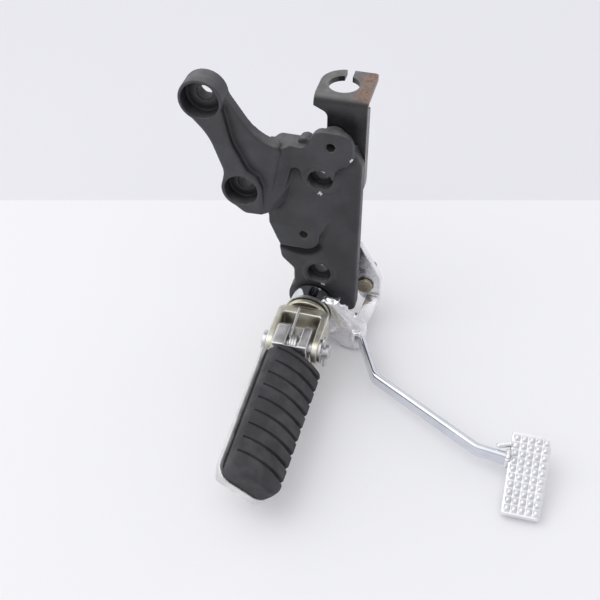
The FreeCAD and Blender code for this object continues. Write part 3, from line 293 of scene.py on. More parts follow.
    def near(self, place: Socket, centres: Sequence[Vector], outer: float, inner: float) -> Value:
        """Mask of what lies near any of some points.

        Args:
            place: the place that is tested.
            centres: the points in metres.
            outer: distance at which the mask begins.
            inner: distance at which it is full.

        Returns:
            The mask.
        """
        found: Value = 0.0
        for centre in centres:
            reach = self.vectors("DISTANCE", place, tuple(centre)).outputs["Value"]
            found = self.larger(found, self.span(reach, outer, inner))
        return found

    def noise_vector(self, scale: float, reach: float) -> Socket:
        """Small random shift of a point, up to about the reach."""
        node = self.tree.nodes.new("ShaderNodeTexNoise")
        self.tree.links.new(self.place, node.inputs["Vector"])
        node.inputs["Scale"].default_value = scale
        centred = self.vectors("SUBTRACT", node.outputs[1], (0.5, 0.5, 0.5)).outputs[0]
        return self.vectors("MULTIPLY", centred, (2 * reach,) * 3).outputs[0]

    def bump(self, height: Socket, depth: float,
             below: Optional[Socket] = None) -> Socket:
        """Normal of a fine relief.

        Args:
            height: relief, 0 to 1.
            depth: its depth in metres.
            below: a normal that it stands on.

        Returns:
            The normal.
        """
        node = self.tree.nodes.new("ShaderNodeBump")
        node.inputs["Strength"].default_value = 1.0
        node.inputs["Distance"].default_value = depth
        self.tree.links.new(height, node.inputs["Height"])
        if below is not None:
            self.tree.links.new(below, node.inputs["Normal"])
        return node.outputs[0]


@dataclass(frozen=True)
class CastPaint:
    """Satin black paint on a sand-textured casting, thin on its edges and chipped in a few places, with a
    painted highlight on its edges, painted top light, painted shade in its hollows and a painted shadow band
    below the low pad.
    """

    name: str = "satin_black_paint"
    dark: Colour = (0.028, 0.028, 0.033)
    light: Colour = (0.043, 0.043, 0.050)
    # edge: worn paint on the edges, lightened further as a painted highlight where light catches them
    edge: Colour = (0.15, 0.15, 0.158)
    # tops: settled dust together with painted top light on upward faces
    dust_and_top_light: Colour = (0.118, 0.117, 0.120)
    chip: Colour = (0.78, 0.78, 0.76)
    # painted shade for corners and hollows, and deep in the tapped holes
    painted_shade: Colour = (0.011, 0.011, 0.013)
    thread: Colour = (0.20, 0.18, 0.17)
    tones: Mottle = Mottle(55.0, 4.0)
    edge_patches: Mottle = Mottle(240.0, 3.0, 0.38, 0.62, 0.15, 0.75)
    top_patches: Mottle = Mottle(170.0, 5.0, 0.35, 0.65, 0.45, 0.85)
    sheen: Mottle = Mottle(130.0, 3.0, 0.3, 0.7, 0.42, 0.54)
    gloss: tuple[float, float] = (0.62, 0.06)
    edge_reach: float = 0.0009
    sand_scale: float = 420.0
    fine_scale: float = 1500.0
    relief: float = 0.00006
    chips: tuple[Point, ...] = ((60.9, 0.3, -56.6), (63.4, 0.3, -122.4), (78.2, -2.3, -30.5))
    chip_radius: float = 0.0016
    bare_metal: float = 0.4
    threads: tuple[Point, ...] = ((66.6, 0.0, -24.1), (52.2, 0.0, -85.0))
    thread_reach: tuple[float, float] = (0.0031, 0.0027)
    thread_turns: float = 6283.0
    thread_relief: float = 0.0003
    # how far and how strongly the painted shade reaches into hollows
    painted_shade_reach: float = 0.006
    painted_shade_share: float = 0.68
    # route of a painted shadow band along the plate below the low pad's lower edge
    shadow_band_route: tuple[Point, ...] = ((37.5, 1.0, -96.6), (41.0, 1.0, -97.8), (44.5, 1.0, -98.8),
                                     (48.0, 1.0, -99.4), (51.5, 1.0, -99.6), (55.0, 1.0, -98.8),
                                     (58.0, 1.0, -96.8), (60.0, 1.0, -94.0))
    shadow_band_steps: int = 3
    shadow_band_reach: tuple[float, float] = (0.0050, 0.0014)
    shadow_band_share: float = 0.8

    def material(self) -> bpy.types.Material:
        """Build the paint."""
        g = Graph(self.name)
        tone = g.mix(g.mottle(self.tones), self.dark, self.light)
        # edges lightened in patches: worn paint and a painted highlight
        tone = g.mix(g.times(g.edges(self.edge_reach), g.mottle(self.edge_patches)), tone, self.edge)
        # upward faces lightened: dust and painted top light
        tone = g.mix(g.times(g.upward(), g.mottle(self.top_patches)), tone, self.dust_and_top_light)
        bare = g.spots(self.chips, self.chip_radius)
        flat = g.vectors("MULTIPLY", g.place, (1.0, 0.0, 1.0)).outputs[0]
        tapped = g.near(flat, [metres(centre) for centre in self.threads], *self.thread_reach)
        turns = g.times(g.maths("SINE", g.times(g.axis("Y"), self.thread_turns), 0.0), tapped)
        fine = g.bump(g.noise(self.fine_scale, 4.0), self.relief)
        sand = g.bump(g.noise(self.sand_scale), self.relief, fine)
        # painted shadow band below the low pad
        shadow_band = g.times(g.near(g.place, self.shadow_band_points(), *self.shadow_band_reach), self.shadow_band_share)
        # painted shade in hollows and the painted shadow band, which also dull the specular
        shaded = g.larger(g.times(g.crevices(self.painted_shade_reach), self.painted_shade_share), shadow_band)
        tone = g.mix(shaded, g.mix(tapped, tone, self.thread), self.painted_shade)
        g.surface(Base_Color=g.mix(bare, tone, self.chip), Roughness=g.mottle(self.sheen),
                  Specular_IOR_Level=g.span(shaded, 0.0, 0.9, *self.gloss),
                  Metallic=g.times(g.larger(bare, tapped), self.bare_metal),
                  Normal=g.bump(turns, self.thread_relief, sand))
        return g.material

    def shadow_band_points(self) -> list[Vector]:
        """Points along the painted shadow band below the low pad, in metres."""
        return [metres(first).lerp(metres(second), step / self.shadow_band_steps)
                for first, second in zip(self.shadow_band_route, self.shadow_band_route[1:])
                for step in range(self.shadow_band_steps)]


@dataclass(frozen=True)
class SheetPaint:
    """Glossier black paint on pressed sheet, with rust on the shelf's front part and along one edge, and
    dust with painted top light on its tops.
    """

    name: str = "gloss_black_sheet"
    dark: Colour = (0.014, 0.014, 0.017)
    light: Colour = (0.026, 0.026, 0.030)
    edge: Colour = (0.085, 0.083, 0.085)
    # tops: dust together with painted top light on upward faces
    dust_and_top_light: Colour = (0.16, 0.156, 0.152)
    rust: Colour = (0.31, 0.165, 0.10)
    rust_dark: Colour = (0.17, 0.10, 0.068)
    tones: Mottle = Mottle(80.0, 4.0)
    edge_patches: Mottle = Mottle(260.0, 3.0, 0.4, 0.6, 0.2, 0.8)
    top_patches: Mottle = Mottle(140.0, 5.0, 0.35, 0.65, 0.6, 0.95)
    patches: Mottle = Mottle(330.0, 8.0, 0.36, 0.64, 0.38, 0.92)
    rims: Mottle = Mottle(120.0, 5.0, 0.40, 0.60, 0.1, 0.8)
    rust_tones: Mottle = Mottle(700.0, 5.0, 0.38, 0.62)
    sheen: Mottle = Mottle(150.0, 3.0, 0.3, 0.7, 0.24, 0.36)
    edge_reach: float = 0.0011
    rust_from: float = 0.0715
    rust_full: float = 0.0795
    rust_rough: float = 0.85
    crust_scale: float = 1100.0
    crust_floor: float = 0.15
    relief: float = 0.00012

    def material(self) -> bpy.types.Material:
        """Build the paint and its rust."""
        g = Graph(self.name)
        tone = g.mix(g.mottle(self.tones), self.dark, self.light)
        edges = g.edges(self.edge_reach)
        tone = g.mix(g.times(edges, g.mottle(self.edge_patches)), tone, self.edge)
        ahead = g.span(g.axis("X"), self.rust_from, self.rust_full)
        up = g.upward()
        # upward faces lightened: dust and painted top light
        tone = g.mix(g.times(up, g.mottle(self.top_patches)), tone, self.dust_and_top_light)
        patch = g.times(g.times(ahead, up), g.mottle(self.patches))
        rim = g.times(g.times(edges, ahead), g.mottle(self.rims))
        rusty = g.larger(patch, rim)
        rust = g.mix(g.mottle(self.rust_tones), self.rust_dark, self.rust)
        crust = g.times(g.noise(self.crust_scale, 5.0), g.maths("ADD", rusty, self.crust_floor))
        g.surface(Base_Color=g.mix(rusty, tone, rust),
                  Roughness=g.larger(g.times(rusty, self.rust_rough), g.mottle(self.sheen)),
                  Normal=g.bump(crust, self.relief))
        return g.material


@dataclass(frozen=True)
class Plate:
    """Bright metal with blotches, fine lines and worn edges; grime with painted shade in its hollows, and
    painted shade behind a given depth.
    """

    name: str
    base: Colour
    blotch: Colour
    rough: float = 0.3
    rough_spread: float = 0.08
    relief: float = 0.00003
    lines: Point = (1.0, 1.0, 1.0)
    grain: float = 900.0
    edge: Optional[Colour] = None
    pits: float = 0.0
    # hollows: grime together with painted shade
    grime_and_shade: Optional[Colour] = None
    grime_and_shade_reach: float = 0.012
    grime_and_shade_share: float = 0.9
    # painted shade on the part that lies behind this depth, next to the plate
    shade_from: Optional[float] = None
    back_shade: Colour = (0.06, 0.06, 0.06)
    shade_blur: float = 0.0001
    tones: Mottle = Mottle(95.0, 5.0, 0.36, 0.66)
    pit_spots: Mottle = Mottle(800.0, 2.0, 0.68, 0.74)
    pit_shade: float = 0.35
    edge_reach: float = 0.0008
    edge_share: float = 0.7

    def material(self) -> bpy.types.Material:
        """Build the metal."""
        g = Graph(self.name)
        tone = g.mix(g.mottle(self.tones), self.base, self.blotch)
        if self.edge is not None:
            tone = g.mix(g.times(g.edges(self.edge_reach), self.edge_share), tone, self.edge)
        # hollows darkened: grime and painted shade
        if self.grime_and_shade is not None:
            tone = g.mix(g.times(g.crevices(self.grime_and_shade_reach), self.grime_and_shade_share), tone, self.grime_and_shade)
        # painted shade behind a given depth
        if self.shade_from is not None:
            shaded_back = g.span(g.axis("Y"), self.shade_from - self.shade_blur, self.shade_from + self.shade_blur)
            tone = g.mix(shaded_back, tone, self.back_shade)
        least, most = self.rough - self.rough_spread, self.rough + self.rough_spread
        rough = g.mottle(Mottle(180.0, 4.0, 0.32, 0.68, least, most))
        if self.pits > 0:
            pits = g.times(g.mottle(self.pit_spots), self.pits)
            tone = g.mix(pits, tone, tuple(self.pit_shade * channel for channel in self.base))
            rough = g.larger(rough, pits)
        g.surface(Base_Color=tone, Metallic=1.0, Roughness=rough,
                  Normal=g.bump(g.noise(self.grain, 4.0, self.lines), self.relief))
        return g.material


@dataclass(frozen=True)
class Rubber:
    """Moulded rubber: matt, dusty in its grain, greyer on worn edges."""

    name: str
    dark: Colour
    light: Colour
    worn: Colour
    rough: float = 0.72
    tones: Mottle = Mottle(110.0, 5.0, 0.35, 0.68)
    edge_patches: Mottle = Mottle(300.0, 3.0, 0.4, 0.65, 0.05, 0.6)
    edge_reach: float = 0.0012
    grain: float = 1300.0
    grain_relief: float = 0.00005
    wave: float = 160.0
    wave_relief: float = 0.00012

    def material(self) -> bpy.types.Material:
        """Build the rubber."""
        g = Graph(self.name)
        tone = g.mix(g.mottle(self.tones), self.dark, self.light)
        tone = g.mix(g.times(g.edges(self.edge_reach), g.mottle(self.edge_patches)), tone, self.worn)
        rough = g.mottle(Mottle(160.0, 3.0, 0.3, 0.7, self.rough - 0.1, self.rough + 0.08))
        waves = g.bump(g.noise(self.wave), self.wave_relief)
        g.surface(Base_Color=tone, Roughness=rough, Specular_IOR_Level=0.35,
                  Normal=g.bump(g.noise(self.grain, 4.0), self.grain_relief, waves))
        return g.material


PAINT = CastPaint()
SHEET = SheetPaint()
# In these finishes the hollow colour is grime with painted shade, darkest in the clevis's window and between
# the pad's studs.
ZINC = Plate("pale_yellow_zinc", (0.86, 0.84, 0.76), (0.76, 0.73, 0.60), 0.46, 0.09, 0.00004,
             edge=(0.92, 0.91, 0.85), pits=0.4, grime_and_shade=(0.075, 0.055, 0.042), grime_and_shade_reach=0.009)
# the washer next to the plate is painted darker, as painted shade
WASHER_ZINC = Plate("washer_zinc", (0.80, 0.79, 0.74), (0.66, 0.64, 0.56), 0.38,
                    pits=0.4, shade_from=-0.0006)
STEEL = Plate("clear_zinc", (0.70, 0.70, 0.72), (0.58, 0.58, 0.59), 0.34, 0.08, pits=0.5)
SPRING_WIRE = Plate("spring_wire", (0.80, 0.80, 0.80), (0.66, 0.65, 0.64), 0.34, 0.1, pits=0.3)
ALUMINIUM = Plate("satin_aluminium", (0.81, 0.80, 0.80), (0.72, 0.71, 0.71), 0.44, 0.07, 0.00003,
                  (1.0, 0.12, 1.0), 1600.0, (0.92, 0.92, 0.92), grime_and_shade=(0.30, 0.29, 0.29), grime_and_shade_reach=0.004)
CHROME = Plate("bright_chrome", (0.71, 0.73, 0.78), (0.65, 0.67, 0.72), 0.10, 0.05, 0.00001,
               grain=500.0, pits=0.35)
SCUFFED_CHROME = Plate("scuffed_chrome", (0.93, 0.93, 0.95), (0.82, 0.81, 0.84), 0.28, 0.09, 0.00006,
                       grain=600.0, pits=0.6, grime_and_shade=(0.30, 0.29, 0.29), grime_and_shade_reach=0.004)
CAST_CHROME = Plate("cast_chrome", (0.95, 0.95, 0.96), (0.90, 0.90, 0.92), 0.40, 0.07, 0.00004, grain=700.0,
                    grime_and_shade=(0.40, 0.40, 0.43), grime_and_shade_reach=0.003)
# brownish old zinc, darkened further as painted shade for the rod pin, which sits in shade
DULL_SHADED_ZINC = Plate("dull_shaded_zinc", (0.46, 0.42, 0.34), (0.30, 0.25, 0.19), 0.34, 0.08, pits=0.5)
BRONZE = Plate("sintered_bronze", (0.62, 0.43, 0.22), (0.48, 0.31, 0.15), 0.42, 0.08, pits=0.6)
TREAD = Rubber("tread_rubber", (0.043, 0.043, 0.048), (0.066, 0.066, 0.072), (0.115, 0.115, 0.122))
SEAL = Rubber("seal_rubber", (0.010, 0.010, 0.011), (0.020, 0.020, 0.021), (0.03, 0.03, 0.03), 0.55)
Finish = Union[CastPaint, SheetPaint, Plate, Rubber]


def dress(finish: Finish, *nodes: str) -> None:
    """Give solids a finish.

    Args:
        finish: the finish.
        nodes: names of the solids.
    """
    material = finish.material()
    for name in nodes:
        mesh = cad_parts[name].data
        mesh.materials.clear()
        mesh.materials.append(material)
        LOG.info("%s in %s", name, finish.name)


def solid_copy(node: str) -> Shape:
    """Merged copy of a solid's mesh.

    Args:
        node: name of the solid.

    Returns:
        The copy.
    """
    shape = bmesh.new()
    shape.from_mesh(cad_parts[node].data)
    bmesh.ops.remove_doubles(shape, verts=shape.verts, dist=MERGE_REACH)
    return shape


def add_hull(shape: Shape, points: Sequence[Point]) -> None:
    """Add the convex hull of points to a mesh.

    Args:
        shape: the mesh that takes it.
        points: points in millimetres.
    """
    made = bmesh.ops.convex_hull(shape, input=[shape.verts.new(metres(point)) for point in points])
    loose = made["geom_interior"] + made["geom_unused"]
    spare = {part for part in loose if isinstance(part, bmesh.types.BMVert)}
    bmesh.ops.delete(shape, geom=list(spare), context="VERTS")


def join(shape: Shape, other: Shape) -> None:
    """Add one mesh to another.

    Args:
        shape: the mesh that takes it.
        other: the mesh that is added, freed here.
    """
    mesh = bpy.data.meshes.new("joined")
    other.to_mesh(mesh)
    other.free()
    shape.from_mesh(mesh)
    bpy.data.meshes.remove(mesh)


def stand_in(shape: Shape) -> bpy.types.Object:
    """Short-lived object for a mesh that modifiers work on.

    Args:
        shape: the mesh, freed here.

    Returns:
        The object.
    """
    mesh = bpy.data.meshes.new("stand_in")
    shape.to_mesh(mesh)
    shape.free()
    made = bpy.data.objects.new("stand_in", mesh)
    bpy.context.scene.collection.objects.link(made)
    return made


def worked(*parts: bpy.types.Object) -> Shape:
    """Mesh of the first object with its modifiers worked in; all the objects are removed.

    Args:
        parts: the object, and any that its modifiers use.

    Returns:
        The mesh.
    """
    finished = bmesh.new()
    finished.from_object(parts[0], bpy.context.evaluated_depsgraph_get())
    for part in parts:
        bpy.data.objects.remove(part)
    return finished


def carve(shape: Shape, cutter: Shape) -> Shape:
    """Cut one mesh out of another.

    Args:
        shape: the mesh that is cut.
        cutter: the mesh that cuts.

    Returns:
        What is left.
    """
    kept, tool = stand_in(shape), stand_in(cutter)
    cut = kept.modifiers.new("cut", "BOOLEAN")
    cut.operation = "DIFFERENCE"
    cut.solver = "EXACT"
    cut.object = tool
    return worked(kept, tool)


def reskin(shape: Shape, kind: Skin) -> Shape:
    """One skin round everything in a mesh, with soft edges and fillets.

    Args:
        shape: closed meshes, which may run into each other.
        kind: the skin's cells and smoothing.

    Returns:
        The skin.
    """
    blank = stand_in(shape)
    skin = blank.modifiers.new("skin", "REMESH")
    skin.mode = "VOXEL"
    skin.voxel_size = kind.voxel
    soft = blank.modifiers.new("soft", "SMOOTH")
    soft.factor = 0.5
    soft.iterations = kind.smoothing
    return worked(blank)


def rod(shape: Shape, axis: str, centre: Point, radius: float, length: float) -> None:
    """Add a cylinder to a mesh.

    Args:
        shape: the mesh that takes it.
        axis: X or Y, the way it runs.
        centre: its middle in millimetres.
        radius: its radius in millimetres.
        length: its length in millimetres.
    """
    turn = Matrix.Rotation(math.pi / 2, 4, "X" if axis == "Y" else "Y")
    bmesh.ops.create_cone(shape, cap_ends=True, segments=ROD_SIDES, radius1=radius * MM, radius2=radius * MM,
                          depth=length * MM, matrix=Matrix.Translation(metres(centre)) @ turn)


def piece(name: str, shape: Shape, material: bpy.types.Material,
          body: Body) -> bpy.types.Object:
    """Turn a finished shape into an object that rides on a body.

    Args:
        name: the piece's name.
        shape: its mesh, freed here.
        material: its material.
        body: the body it rides on.

    Returns:
        The object.
    """
    mesh = bpy.data.meshes.new(name)
    shape.to_mesh(mesh)
    shape.free()
    mesh.materials.append(material)
    for polygon in mesh.polygons:
        polygon.use_smooth = True
    made = bpy.data.objects.new(name, mesh)
    bpy.context.scene.collection.objects.link(made)
    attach(made, body.value)
    LOG.info("%s made with %d faces", name, len(mesh.polygons))
    return made


@dataclass
class WeldBead:
    """Rippled bead of weld along a route of points, plated over with the rest."""

    route: Sequence[Point]
    radius: float
    ripple: float = 1.3
    unrest: float = 0.0
    sides: int = 10

    def stations(self) -> list[Vector]:
        """Points along the route, a quarter of a ripple apart."""
        step = self.ripple / 4
        found: list[Vector] = []
        for first, second in zip(self.route, self.route[1:]):
            start, end = Vector(first), Vector(second)
            count = max(2, round((end - start).length / step))
            found += [start.lerp(end, index / count) for index in range(count)]
        return found + [Vector(self.route[-1])]

    def add_to(self, shape: Shape) -> None:
        """Draw the bead into a mesh by pushing a ring along the route.

        Args:
            shape: the mesh that takes it.
        """
        points = self.stations()
        last = len(points) - 1
        chance = random.Random(len(points))
        ring: list[bmesh.types.BMEdge] = []
        before = Matrix()
        for index, point in enumerate(points):
            ahead = points[min(index + 1, last)] - points[max(index - 1, 0)]
            turn = ahead.to_track_quat("Z", "Y").to_matrix().to_4x4()
            swell = 0.90 + 0.10 * math.cos(index * math.pi / 2) + 0.05 * math.sin(index * 1.7)
            taper = min(1.0, 0.45 + 0.2 * min(index, last - index))
            swell *= taper * (1 + self.unrest * chance.uniform(-1, 1))
            shift = Vector([chance.uniform(-1, 1) for _ in range(3)]) * (self.unrest * self.radius * 0.6)
            spot = Matrix.Translation(point + shift)
            place = Matrix.Scale(MM, 4) @ spot @ turn @ Matrix.Scale(swell * self.radius, 4)
            if index == 0:
                made = bmesh.ops.create_circle(shape, cap_ends=True, segments=self.sides,
                                               radius=1.0, matrix=place)
                ring = list({edge for vert in made["verts"] for edge in vert.link_edges})
            else:
                grown = bmesh.ops.extrude_edge_only(shape, edges=ring)["geom"]
                verts = [part for part in grown if isinstance(part, bmesh.types.BMVert)]
                ring = [part for part in grown if isinstance(part, bmesh.types.BMEdge)
                        and all(vert in verts for vert in part.verts)]
                bmesh.ops.transform(shape, matrix=place @ before.inverted(), verts=verts)
            before = place
        bmesh.ops.contextual_create(shape, geom=ring)


@dataclass
class Casting:
    """Cast bracket with its tab and the stack on the pivot."""

    steel: tuple[str, ...] = ("tab_bolts", "stud_washer", "stud_nut", "split_pin")
    bright: tuple[str, ...] = ("clevis_pin", "pin_washer")
    skin: Skin = Skin(0.00055, 4)
    clevis_skin: Skin = Skin(0.0004, 8)
    plate_face: float = 1.0
    pad_face: float = -2.5
    upper_hole: tuple[float, float] = (61.0, -46.9)
    low_pad: tuple[float, float] = (52.2, -85.0)
    pivot: tuple[float, float] = (57.5, -135.2)
    disc_back: float = -13.2
    shank_ease: float = 0.15
    spot_radius: float = 9.9
    spot_length: float = 8.0
    spot_setback: float = 3.4
    thread_radius: float = 2.5
    thread_length: float = 12.0
    pad_radius: float = 8.0
    flank_radius: float = 9.4

    def build(self) -> None:
        """Make the cast body and the forged clevis, and dress the solids."""
        self.cast_body()
        self.forged_clevis()
        dress(SHEET, "guide_tab")
        dress(STEEL, *self.steel, *self.bright)
        dress(WASHER_ZINC, "thrust_washers")
        dress(SEAL, "dust_seal")
        dress(SPRING_WIRE, "footrest_spring")

    def cast_body(self) -> bpy.types.Object:
        """Casting with the soft edges and fillets of its mould.

        Returns:
            The casting.
        """
        spot_face = bmesh.new()
        spot = (self.upper_hole[0], self.pad_face - self.spot_setback, self.upper_hole[1])
        rod(spot_face, "Y", spot, self.spot_radius, self.spot_length)
        shape = carve(solid_copy("bracket_casting"), spot_face)
        for fill in (self.shoulder_head(), self.shoulder_foot()):
            add_hull(shape, fill)
        flank, drill = bmesh.new(), bmesh.new()
        add_hull(flank, self.pad_flank())
        rod(drill, "Y", (self.low_pad[0], 0.0, self.low_pad[1]), self.thread_radius, self.thread_length)
        join(shape, carve(flank, drill))
        skinned = reskin(shape, self.skin)
        body = piece("cast_body", skinned, PAINT.material(), Body.BRACKET)
        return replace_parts(body, "bracket_casting")

    def forged_clevis(self) -> bpy.types.Object:
        """Clevis with the soft edges of a forging; its shank is eased so that the bushes turn on it.

        Returns:
            The clevis.
        """
        shape = reskin(solid_copy("footrest_clevis"), self.clevis_skin)
        for vert in shape.verts:
            if vert.co.y > self.disc_back * MM:
                out = Vector((vert.co.x - self.pivot[0] * MM, 0.0, vert.co.z - self.pivot[1] * MM))
                vert.co -= out.normalized() * self.shank_ease * MM
        clevis = piece("forged_clevis", shape, ZINC.material(), Body.BRACKET)
        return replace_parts(clevis, "footrest_clevis")

    def shoulder_head(self) -> list[Point]:
        """Corners of the fill between the arm's web, the ear and the plate."""
        back = self.plate_face + 0.2
        return [(36.0, -7.3, -31.5), (40.3, -7.3, -31.5), (49.2, back, -31.5), (36.0, back, -31.5),
                (36.0, -6.8, -26.8), (40.0, -6.8, -26.8), (47.5, back, -26.8), (36.0, back, -26.8)]

    def shoulder_foot(self) -> list[Point]:
        """Corners of the slope that runs from the rib's foot to the plate."""
        back = self.plate_face + 0.2
        return [(30.5, -11.5, -67.2), (33.0, -11.5, -67.2), (42.0, back, -67.2), (30.5, back, -67.2),
                (30.5, -9.5, -52.0), (34.4, -8.6, -52.0), (45.0, back, -52.0), (30.5, back, -52.0)]

    def pad_flank(self) -> list[Point]:
        """Points of the gentle flank above and ahead of the low pad."""
        x, z = self.low_pad
        top, foot = self.pad_face + 0.1, self.plate_face + 0.1
        points = [(34.0, top, z + 4.0), (36.5, top, z - 6.0), (34.0, foot, z + 16.0),
                  (44.0, foot, z + 24.0), (60.0, foot, z + 23.0), (68.0, foot, z + 12.0)]
        for degrees in range(-95, 46, 20):
            turn = math.radians(degrees)
            for level, radius in ((top, self.pad_radius), (foot, self.flank_radius)):
                points.append((x + radius * math.cos(turn), level, z + radius * math.sin(turn)))
        return points


@dataclass
class Footrest:
    """Folding footrest: tray, moulded rubber and screws."""

    tray_skin: Skin = Skin(0.00045, 8)
    rubber_skin: Skin = Skin(0.00042, 5)
    pivot: Point = (57.5, 0.0, -135.2)
    roll: float = 35.5
    shoulder: float = 12.5
    draw_in: float = 2.6
    draw_run: float = 5.6
    rim_level: float = -0.8
    pin: Point = (57.5, -45.0, -131.0)
    ear_bore: float = 4.5
    bore_length: float = 40.0

    def build(self) -> None:
        """Make the cast tray and the moulded rubber, and dress the screws."""
        dress(STEEL, "rubber_screws")
        self.cast_tray()
        self.moulded_rubber()

    def cast_tray(self) -> bpy.types.Object:
        """Tray and ears with the soft edges of a casting, the ears' bores clear of the pin.

        Returns:
            The tray.
        """
        drill = bmesh.new()
        rod(drill, "X", self.pin, self.ear_bore, self.bore_length)
        shape = reskin(carve(solid_copy("footrest_body"), drill), self.tray_skin)
        tray = piece("cast_tray", shape, ALUMINIUM.material(), Body.FOOTREST)
        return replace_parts(tray, "footrest_body")

    def moulded_rubber(self) -> bpy.types.Object:
        """Rubber with the soft edges of a moulding, its plain side drawn in from the tray's rim.

        Returns:
            The rubber.
        """
        level = Matrix.Rotation(math.radians(-self.roll), 4, "Y") @ Matrix.Translation(-metres(self.pivot))
        back = level.inverted()
        finished = reskin(solid_copy("footrest_rubber"), self.rubber_skin)
        for vert in finished.verts:
            place = level @ vert.co
            past = (-self.shoulder * MM - place.x) / (self.draw_run * MM)
            if past > 0 and place.z > self.rim_level * MM:
                past = min(past, 1.0)
                place.x += self.draw_in * MM * past * past * (3 - 2 * past)
                vert.co = back @ place
        rubber = piece("moulded_tread", finished, TREAD.material(), Body.FOOTREST)
        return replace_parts(rubber, "footrest_rubber")


